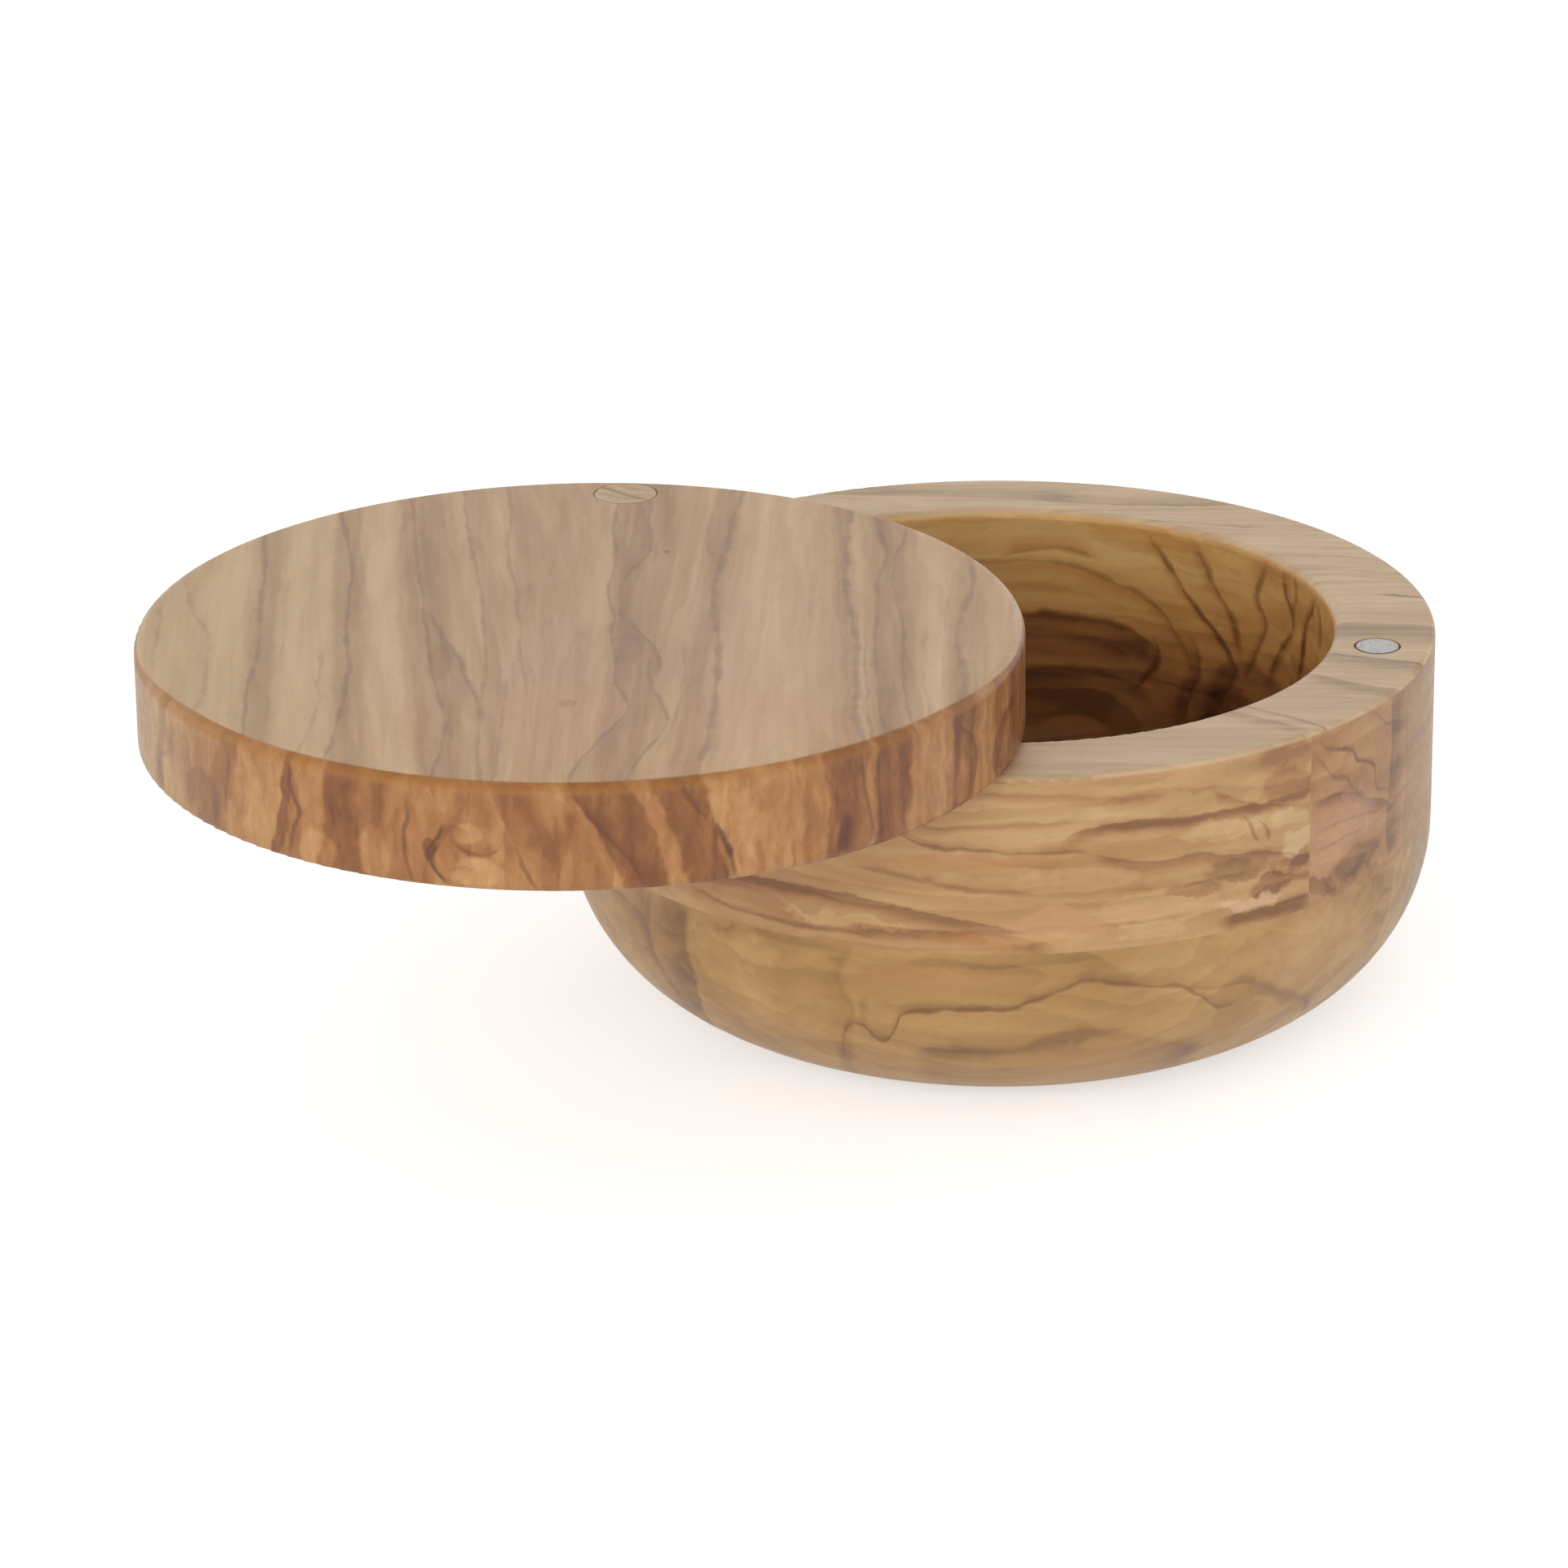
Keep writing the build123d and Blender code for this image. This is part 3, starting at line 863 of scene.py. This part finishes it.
spacer_nylon = new_material("spacer_nylon")
nylon_tree = spacer_nylon.node_tree
nylon_shader = nylon_tree.nodes["Principled BSDF"]
nylon_cloud = place(nylon_tree, "TexNoise", {"Vector": board_place(nylon_tree), "Scale": 0.6})
nylon_tree.links.new(
    tint(nylon_tree, nylon_cloud.outputs[0], paint(236, 233, 222), paint(222, 218, 205)),
    nylon_shader.inputs["Base Color"],
)
nylon_shader.inputs["Roughness"].default_value = 0.5
dress("spacer_washer", spacer_nylon)

# ---------------------------------------------------------------- lid
# One flat disc, turned from a single board of olive wood with the grain running front to back.
# Its bands and veins go right through the thickness. The turned edge drank more oil than the
# faces, with painted shade on its front rounding, and shows a small knot at the front.

lid_low, lid_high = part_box("lid")
lid_centre = ((lid_low.x + lid_high.x) / 2, (lid_low.y + lid_high.y) / 2, lid_high.z)

# the four tones of the lid's bands
pale = 0.12
fair = 0.28
even = 0.42
deep = 0.58

# where each band across the lid starts, from its left to its right, and its tone
lid_bands = [
    *[(-60, fair), (-46, pale), (-41.5, deep), (-37.5, pale), (-31, deep), (-27, pale), (-22, deep)],
    *[(-16.5, even), (-14, fair), (-12, even), (-9.6, fair), (-7.6, even), (1.5, fair), (4, deep)],
    *[(10, even), (12.4, fair), (14.4, deep), (17.4, fair), (19.6, pale), (27, fair), (32, deep)],
    *[(34, fair), (36, deep), (40.6, even), (42.6, pale), (46, even), (51.5, fair)],
]

# how far each band runs off to the right per millimetre towards the back, and per millimetre down
lid_sway = [(-50, -0.06), (-40, -0.07), (-25, -0.1), (-12, -0.1), (0, -0.03), (17, 0.02)]
lid_sway += [(33, -0.03), (48, 0.01)]
lid_lean = [(-58, 0), (-50, -0.1), (-40, -0.06), (-30, -0.1), (-20, 0), (-10, 0.2), (2, 0.64)]
lid_lean += [(10, 0.6), (16, 0.42), (25, 0.2), (36, -0.16), (41, 0), (47, 0.2), (58, 0)]

vein_f = [
    *[(56, -26.4), (38, -23.8), (26, -22.6), (15, -21), (5, -20), (-5, -18.6), (-20, -16.8)],
    *[(-30, -14.9), (-40, -13.9), (-58, -15.5)],
]
vein_g = [
    *[(58, -19), (40, -17.2), (28, -15.5), (17, -14), (7, -12.7), (-5, -11.7), (-15, -10.6)],
    *[(-28, -10.3), (-41, -9.8), (-62, -7.6)],
]
vein_h = [
    *[(49, 2.6), (36, 2.2), (25, 3.2), (12, 2.9), (4, 3.9), (-4, 4.2), (-12, 5), (-20, 5.5)],
    *[(-26, 6.9), (-31, 7.4), (-36, 6.1), (-42, 4.2), (-48, 2.5), (-62, 1.8)],
]
lid_veins = [
    ([(40, -43.6), (20, -41.5), (5, -40.4), (-9, -39.2), (-24, -39.1), (-44, -37.6)], 0.7, 0.5, 2.8, 0.35),
    ([(34, -39.8), (15, -38.2), (-14, -35.8)], 0.6, 0.2, 0, 0),
    (
        [(50, -35), (38, -33.2), (22, -30.5), (10, -29.7), (-4, -28.9), (-15, -27.5), (-54, -28)],
        *(0.7, 0.55, 2.4, 0.32),
    ),
    ([(48, -31.8), (30, -30.3), (18, -28.8), (8, -28.2)], 0.6, 0.2, 0, 0),
    ([(-8, -31.2), (-20, -30.8), (-27, -30.2), (-52, -31.8)], 0.6, 0.25, 1.5, 0.2),
    (vein_f, 0.6, 0.5, 2.6, 0.3),
    ([(6, -19.4), (-4, -17), (-12, -14.3), (-20, -12.6), (-28, -10.6), (-36, -9.8)], 0.8, 0.5, -2.6, 0.5),
    (vein_g, 0.6, 0.4, 3.0, 0.35),
    (
        [(58, -13), (40, -11.4), (30, -11.1), (22, -10.2), (10, -8.6), (2, -7.7), (-8, -7), (-24, -5.4)],
        *(0.6, 0.35, 6.0, 0.25),
    ),
    ([(-18, -8), (-30, -7.4), (-40, -7.2), (-62, -6.6)], 0.6, 0.35, -2.6, 0.5),
    (vein_h, 0.6, 0.5, 4.0, 0.6),
    ([(52, 6.5), (35, 7), (28, 7.4), (22, 6.1), (16, 4.6), (6, 4.8), (0, 5.3)], 0.6, 0.42, -3.0, 0.5),
    ([(4, 5.2), (-3, 7.6), (-9, 9.9), (-20, 10.6)], 0.6, 0.4, -4.0, 0.7),
    (
        [(-10, 9.4), (-20, 9.8), (-28, 11.6), (-35, 12.3), (-41, 11.2), (-48, 9.5), (-62, 8)],
        *(0.6, 0.45, -3.0, 0.4),
    ),
    ([(-5, 13.2), (-24, 13.8), (-33, 13.2), (-44, 12.2)], 0.6, 0.25, 3.0, 0.28),
    ([(54, 15.6), (38, 14.7), (22, 14.3), (8, 13.6)], 0.8, 0.22, 1.5, 0.2),
    (
        [(58, 19.6), (42, 17.9), (28, 17.3), (18, 16.4), (6, 16.5), (-8, 17.6), (-34, 17.8), (-60, 16)],
        *(1.0, 0.5, -3.0, 0.35),
    ),
    ([(50, 33), (28, 32.8), (12, 33), (0, 34.2), (-10, 34.8), (-28, 35), (-50, 36.8)], 1.0, 0.55, -2.0, 0.4),
    (
        [(48, 36), (34, 36.7), (26, 37.7), (18, 37), (5, 37), (-5, 36.9), (-20, 37.3), (-48, 39.6)],
        *(0.8, 0.5, 2.0, 0.42),
    ),
    (
        [(46, 39.4), (33, 40.1), (24, 38.9), (13, 39), (-4, 40.3), (-20, 40.5), (-44, 42.6)],
        *(0.6, 0.45, 2.0, 0.35),
    ),
    ([(-3, 35.7), (-18, 36), (-48, 37.6)], 0.5, 0.4, 0, 0),
    (
        [(34, 48), (24, 48.6), (14, 49), (5, 47.9), (-5, 47), (-14, 47.8), (-22, 48.1), (-38, 46.6)],
        *(1.0, 0.48, -2.5, 0.35),
    ),
    ([(22, 46.8), (8, 46), (-2, 45.5), (-10, 46.1)], 0.6, 0.2, 0, 0),
    ([(0, 43), (-10, 42.7), (-20, 43), (-42, 45)], 0.6, 0.2, 1.0, 0.15),
    ([(20, -51.8), (4, -48.8), (-5, -46), (-16, -45), (-38, -44.4)], 0.8, 0.3, 1.5, 0.2),
    ([(10, -53.4), (-4, -52.4), (-24, -51.2)], 0.6, 0.3, 0, 0),
]
lid_spots = [
    ((27, 9.6), (0.7, 0.4), 0.5),
    ((-28, 0.2), (1.6, 1.2), 0.3),
    ((29, 6.5), (1.2, 0.8), 0.1),
    ((21, 5.8), (1.0, 0.7), 0.1),
    ((15, 32.7), (1.6, 0.9), 0.12),
    ((-9, 6.5), (6, 2.2), 0.14),
    ((-14, -16.5), (7, 1.8), 0.16),
]

# where each band round the turned edge starts, by degrees to the right of its front, and its tone
edge_bands = [
    *[(-110, even), (-84, fair), (-71, pale), (-64, even), (-61, pale), (-55, fair), (-48, even)],
    *[(-44, pale), (-36, deep), (-34, fair), (-29, deep), (-25, even), (-18, fair), (-8, even)],
    *[(-0.6, fair), (1.4, deep), (8.8, fair), (11.4, deep), (18.4, pale), (30, fair), (35, deep)],
    *[(41.2, fair), (42.6, deep), (48.6, fair), (58, deep), (62.6, fair), (70, even), (75, deep)],
]

# how many degrees each of these bands moves to the right per millimetre down
edge_lean = [(-100, 0), (-20, 0), (-8, 0.3), (0, 0.75), (8, 0.6), (14, 0.45), (20, 0.35)]
edge_lean += [(26, 0.1), (36, 0), (100, 0)]

# veins of the edge, by millimetres down and degrees to the right
edge_veins = [
    ([(0, -45.6), (3, -45.8), (6, -46.4), (9, -46.8), (14, -46)], 0.7, 0.45, 0, 0),
    ([(0, -34.2), (3, -35), (5, -34.6), (7, -33.6), (9, -34.6), (14, -35.2)], 0.8, 0.6, 1.5, 0.3),
    ([(2, -18.6), (5, -18.2), (7, -18.6), (14, -17.4)], 0.6, 0.55, 0, 0),
    ([(4.6, -13.8), (7, -14.1), (8, -15), (9.5, -15.8), (10.5, -15.2), (14, -12.4)], 0.8, 1.0, 1.4, 0.5),
    ([(7.6, -14), (9, -14.8), (10.6, -15.6)], 1.2, 1.0, 0, 0),
    ([(0, -61), (4, -60), (7, -62), (8, -64), (10, -65), (14, -65)], 0.8, 0.3, 2.4, 0.4),
    ([(5, 19.4), (8, 21.2), (10, 22), (14, 22.6)], 1.1, 1.0, -1.8, 0.4),
    ([(0, 15.4), (3, 17), (6, 19.8)], 0.8, 0.5, 0, 0),
    ([(-1, 1.4), (3, 3.6), (6, 6), (9, 8.8), (14, 11.4)], 0.7, 0.5, 1.2, 0.3),
    ([(7, -4.6), (9, -4.2), (11, -3.4), (14, -1.4)], 0.6, 0.4, 0, 0),
    ([(3, 36), (8, 36.8), (11, 37), (14, 36.4)], 0.9, 0.4, 0, 0),
    ([(7, 37), (9, 37.6), (12, 37.4), (14, 37)], 2.0, 0.8, 0, 0),
    ([(0, 40), (5, 40.8), (10, 41.8), (14, 42.6)], 0.6, 0.6, 0, 0),
    ([(0, 42.8), (7, 43.2), (14, 43.6)], 0.6, 0.6, 0, 0),
    ([(0, 46.4), (6, 47), (14, 47.6)], 0.8, 0.5, 0, 0),
    ([(0, 58.4), (2.4, 58.8), (5, 62), (8, 63), (11, 62.4), (14, 60)], 0.8, 0.55, -2.2, 0.5),
    ([(3, 79), (5, 74), (7, 70), (9, 68.4), (12, 69), (14, 71)], 0.9, 0.35, 5.0, 0.7),
]
edge_swirl = [(-13, 7.2), (-11.4, 8.4), (-9.4, 9.2), (-7.4, 8.8), (-6.2, 7.4), (-5.4, 5.4)]
edge_arcs = [
    (edge_swirl, 0.7, 0.5, -1.8, 0.35),
    ([(-15, 6.8), (-13.4, 5.9), (-11.6, 6), (-10, 6.8)], 0.6, 0.2, 1.6, 0.3),
    ([(-14, 11.4), (-12, 10.8), (-9, 11.2)], 0.5, 0.25, 1.0, 0.2),
]

# deeper and paler patches of the edge, by degrees to the right and millimetres down
edge_shades = [
    ((-52, 9.5), (4.4, 4), 0.26),
    ((-60, 5), (2.6, 2.4), 0.14),
    ((-31, 11.5), (3, 3), -0.3),
    ((-23, 10.5), (2.4, 4), -0.24),
    ((-27, 4), (4, 3), 0.08),
    ((-9.6, 11.4), (3.4, 2.2), -0.22),
    ((-15.4, 8.4), (1.0, 1.2), 0.34),
    ((-10.6, 6.6), (2, 1.4), -0.18),
    ((60, 11), (2.4, 4), -0.2),
]

lid_wood = new_material("lid_wood")
lid_tree = lid_wood.node_tree
lid_spot = board_place(lid_tree, lid_centre)
lid_x, lid_y, lid_z = parted(lid_tree, lid_spot)
lid_depth = reckon(lid_tree, "MULTIPLY", lid_z, -1.0)
lid_radius = from_axis(lid_tree, lid_x, lid_y)
lid_vigour = vigour_of(lid_tree, lid_spot)
lid_loose = wander(lid_tree, wander(lid_tree, lid_spot, 9.0, 1.2), 2.6, 0.4)
loose_x, loose_y, loose_z = parted(lid_tree, lid_loose)

# the board's own figure: bands and veins that run front to back, and lean as they go down
leaning = reckon(lid_tree, "MULTIPLY", follow(lid_tree, lid_x, lid_lean), lid_depth)
straight = reckon(lid_tree, "SUBTRACT", loose_x, leaning)
swaying = reckon(lid_tree, "MULTIPLY", follow(lid_tree, straight, lid_sway), loose_y)
band_place = reckon(lid_tree, "SUBTRACT", straight, swaying)
lid_dark, lid_shade = grow(lid_tree, straight, loose_y, lid_vigour, lid_veins)
grain_place = place(lid_tree, "CombineXYZ", {0: band_place, 1: lid_y, 2: lid_z}).outputs[0]
lid_growth = rings(lid_tree, grain_place, (0.12, 0.012, 0.05), (0.02, 0.0, 0.0), 7.0)
band_tone = build_up(
    lid_tree,
    reckon(lid_tree, "SUBTRACT", bands(lid_tree, band_place, lid_bands, 0.9), 0.12),
    (lid_growth["Shade"], 0.1),
    (lid_growth["Cloud"], 0.18),
    (lid_shade, 0.26),
)
face_tone = deepen(lid_tree, straight, loose_y, band_tone, lid_spots)
face_colour = stain(
    lid_tree,
    face_tone,
    [paint(214, 178, 136), paint(196, 157, 115), paint(173, 132, 92), paint(144, 106, 73)],
)
greenish = reckon(lid_tree, "MULTIPLY", ease(lid_tree, lid_x, -18.0, -50.0), 0.35)
face_colour = tint(lid_tree, greenish, face_colour, paint(202, 174, 120))
face_blushes = [
    ((-38, 6), (18, 40), 0.16, paint(206, 150, 96)),
    ((-8, 22), (40, 12), 0.2, paint(206, 158, 132)),
    ((-20, 0), (26, 10), 0.2, paint(206, 158, 132)),
]
face_colour = dab(lid_tree, loose_x, loose_y, face_colour, face_blushes)
face_colour = tint(
    lid_tree, reckon(lid_tree, "MULTIPLY", lid_dark, 0.75), face_colour, paint(122, 92, 66)
)

# the turned edge: its front is followed band by band, and its back carries the board's figure on
torn = wander(lid_tree, wander(lid_tree, lid_loose, 9.0, 4.0), 2.6, 1.4)
torn_x, torn_y, torn_z = parted(lid_tree, torn)
torn_turn = degrees(lid_tree, torn_x, reckon(lid_tree, "MULTIPLY", torn_y, -1.0))
edge_turn = degrees(lid_tree, loose_x, reckon(lid_tree, "MULTIPLY", loose_y, -1.0))
edge_depth = reckon(lid_tree, "MULTIPLY", loose_z, -1.0)
turned_by = reckon(lid_tree, "MULTIPLY", follow(lid_tree, edge_turn, edge_lean), lid_depth)
edge_course = reckon(lid_tree, "SUBTRACT", torn_turn, turned_by)
edge_masks = grow(lid_tree, edge_depth, edge_turn, lid_vigour, edge_arcs)
edge_dark, edge_shade = grow(lid_tree, edge_turn, edge_depth, lid_vigour, edge_veins, edge_masks)
edge_growth = rings(lid_tree, lid_loose, (0.16, 0.16, 0.05), (0.0, 0.0, 0.0), 5.0)
streak_place = place(lid_tree, "VectorMath", {0: torn, 1: (0.9, 0.9, 0.22)}, operation="MULTIPLY")
streak_noise = place(lid_tree, "TexNoise", {"Vector": streak_place.outputs[0], "Scale": 1.0, "Detail": 3.0})
edge_tone = build_up(
    lid_tree,
    reckon(lid_tree, "SUBTRACT", bands(lid_tree, edge_course, edge_bands, 0.3), 0.0),
    (edge_growth["Shade"], 0.1),
    (edge_growth["Cloud"], 0.24),
    (ease(lid_tree, streak_noise.outputs[0], 0.35, 0.65), 0.1),
    (edge_shade, 0.4),
)
edge_tone = deepen(lid_tree, edge_depth, edge_turn, edge_tone, edge_shades)
at_front = ease(lid_tree, reckon(lid_tree, "ABSOLUTE", edge_turn), 96.0, 84.0)
at_front = reckon(lid_tree, "MULTIPLY", at_front, ease(lid_tree, lid_radius, 52.5, 54.0))
turned_tone = go_over(lid_tree, at_front, band_tone, edge_tone)
turned_dark = go_over(lid_tree, at_front, lid_dark, edge_dark)
turned_colour = stain(
    lid_tree,
    turned_tone,
    [
        paint(208, 162, 108),
        paint(192, 142, 90),
        paint(168, 114, 66),
        paint(138, 86, 44),
        paint(112, 64, 30),
    ],
)
greyed = reckon(lid_tree, "MULTIPLY", ease(lid_tree, lid_x, -34.0, -54.0), 0.4)
turned_colour = tint(lid_tree, greyed, turned_colour, paint(176, 148, 104))
turned_colour = tint(lid_tree, turned_dark, turned_colour, paint(90, 50, 26))

# painted shade at the front of the rounding, which catches less sheen than the face: it is painted
# deeper and more golden than the edge below
from_front = reckon(lid_tree, "ABSOLUTE", edge_turn)
rounding_shade = build_up(lid_tree, 0.15, (edge_growth["Cloud"], 0.25), (ease(lid_tree, lid_x, 60.0, -50.0), 0.3))
rounding_shade = reckon(lid_tree, "MULTIPLY", rounding_shade, ease(lid_tree, from_front, 82.0, 60.0))
rounding_shade_mask = reckon(lid_tree, "MULTIPLY", ease(lid_tree, lid_depth, 1.6, 0.7), rounding_shade)
turned_colour = tint(lid_tree, rounding_shade_mask, turned_colour, paint(172, 114, 48))
lid_rounding = 1.5
face_radius = (lid_high.x - lid_low.x) / 2 / mm - lid_rounding
# painted sheen: away from the front, the face's paler colour is carried up to 0.85 mm further over the
# rounding
edge_colour_from = ease(lid_tree, from_front, 52.0, 80.0, face_radius + 0.1, face_radius + 0.95)
edge_colour_to = reckon(lid_tree, "ADD", edge_colour_from, 0.3)
off_face = ease(lid_tree, lid_radius, edge_colour_from, edge_colour_to)
lid_colour = tint(lid_tree, off_face, face_colour, turned_colour)
finish_wood(lid_wood, lid_colour, grain_place, (1.0, 0.04, 1.0), (3.0, 0.5, 3.0))
dress("lid", lid_wood)

# ---------------------------------------------------------------- lid plug
# A round plug cut across a scrap of the same wood and glued over the screw's head, then turned
# flush with the lid. Its figure doesn't line up with the lid's, and a dark glue line rings it.

plug_low, plug_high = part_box("lid_plug")
plug_centre = ((plug_low.x + plug_high.x) / 2, (plug_low.y + plug_high.y) / 2, plug_high.z)
plug_wood = new_material("plug_wood")
plug_tree = plug_wood.node_tree
plug_spot = board_place(plug_tree, plug_centre)
plug_x, plug_y, plug_z = parted(plug_tree, plug_spot)
plug_veins = [
    ([(-5, 3.6), (-1.5, 1), (1, -1.4), (4, -3)], 0.9, 0.6, 1.4, 0.4),
    ([(-4, 0.6), (-1, -1.6), (2, -3.4)], 0.5, 0.25, 1.0, 0.3),
    ([(-2, 4), (1, 2), (4, 0.6)], 0.5, 0.2, -1.0, 0.3),
]
plug_dark, plug_shade = grow(plug_tree, plug_y, plug_x, 1.0, plug_veins)
plug_growth = rings(plug_tree, plug_spot, (0.3, 0.5, 0.5), (0.0, 0.0, 0.0), 5.0)
plug_tone = build_up(plug_tree, 0.1, (plug_growth["Shade"], 0.3), (plug_shade, 0.5))
plug_colour = stain(
    plug_tree, plug_tone, [paint(206, 174, 134), paint(184, 150, 108), paint(150, 118, 80)]
)
plug_colour = tint(plug_tree, plug_dark, plug_colour, paint(112, 92, 60))
near_side = ease(plug_tree, reckon(plug_tree, "SUBTRACT", plug_y, plug_x), 3.0, -4.0, 0.15, 0.6)
glue_line = ease(plug_tree, from_axis(plug_tree, plug_x, plug_y), 3.9, 4.15)
glue_line = reckon(plug_tree, "MULTIPLY", glue_line, near_side)
plug_colour = tint(plug_tree, glue_line, plug_colour, paint(110, 80, 54))
finish_wood(plug_wood, plug_colour, plug_spot, (0.1, 1.0, 1.0), (0.5, 3.0, 3.0))
dress("lid_plug", plug_wood)

# ---------------------------------------------------------------- lid magnet
# The same disc again, flush in the lid's underside, where it meets the rim magnet when the lid
# is shut.

dress("lid_magnet", magnet_plating)

# ---------------------------------------------------------------- floor and light
# A plain white sweep: bright all round near the horizon, softer overhead, with one large soft
# lamp low at the front left.

bpy.ops.mesh.primitive_plane_add(size=6)
floor = bpy.context.object
floor.name = "floor"
floor_white = new_material("floor_white")
floor_tree = floor_white.node_tree
floor_paths = place(floor_tree, "LightPath").outputs
floor_seen = reckon(floor_tree, "MAXIMUM", floor_paths["Is Camera Ray"], floor_paths["Is Glossy Ray"])
floor_seen = reckon(floor_tree, "MAXIMUM", floor_seen, floor_paths["Is Transmission Ray"])
floor_shader = floor_tree.nodes["Principled BSDF"]
floor_shader.inputs["Base Color"].default_value = (0.8, 0.8, 0.8, 1)
floor_shader.inputs["Roughness"].default_value = 0.9
floor_shader.inputs["Specular IOR Level"].default_value = 0.0
floor_shader.inputs["Emission Color"].default_value = (1, 1, 1, 1)
floor_tree.links.new(
    reckon(floor_tree, "MULTIPLY", floor_seen, 0.55), floor_shader.inputs["Emission Strength"]
)
floor.data.materials.append(floor_white)

world = bpy.data.worlds.new("studio")
world.use_nodes = True
bpy.context.scene.world = world
sky = world.node_tree
way = place(sky, "TexCoord").outputs["Generated"]
rise = place(sky, "SeparateXYZ", {0: way}).outputs[2]
soft = ease(sky, rise, 0.1, 0.9, 1.15, 0.5)
sky_paths = place(sky, "LightPath").outputs
sweep = ease(sky, rise, 0.85, 0.5)
mirrored = reckon(sky, "MULTIPLY", sky_paths["Is Glossy Ray"], sweep)
white = reckon(sky, "MAXIMUM", sky_paths["Is Camera Ray"], sky_paths["Is Transmission Ray"])
strength = reckon(sky, "MAXIMUM", reckon(sky, "MAXIMUM", white, mirrored), soft)
sky.links.new(strength, sky.nodes["Background"].inputs["Strength"])
sky.nodes["Background"].inputs["Color"].default_value = (1, 1, 1, 1)

lamp_distance = 1.5
lamp_turn = math.radians(-90 - 12) + board_turn
lamp_rise = math.radians(22)
lamp = bpy.data.objects.new("soft_lamp", bpy.data.lights.new("soft_lamp", "AREA"))
lamp.data.size = 0.9
lamp.data.energy = 6.5
lamp.visible_glossy = False
lamp_way = Vector(
    (
        math.cos(lamp_turn) * math.cos(lamp_rise),
        math.sin(lamp_turn) * math.cos(lamp_rise),
        math.sin(lamp_rise),
    )
)
lamp.matrix_world = Matrix.Translation(lamp_way * lamp_distance) @ lamp_way.to_track_quat(
    "Z", "Y"
).to_matrix().to_4x4()
bpy.context.scene.collection.objects.link(lamp)
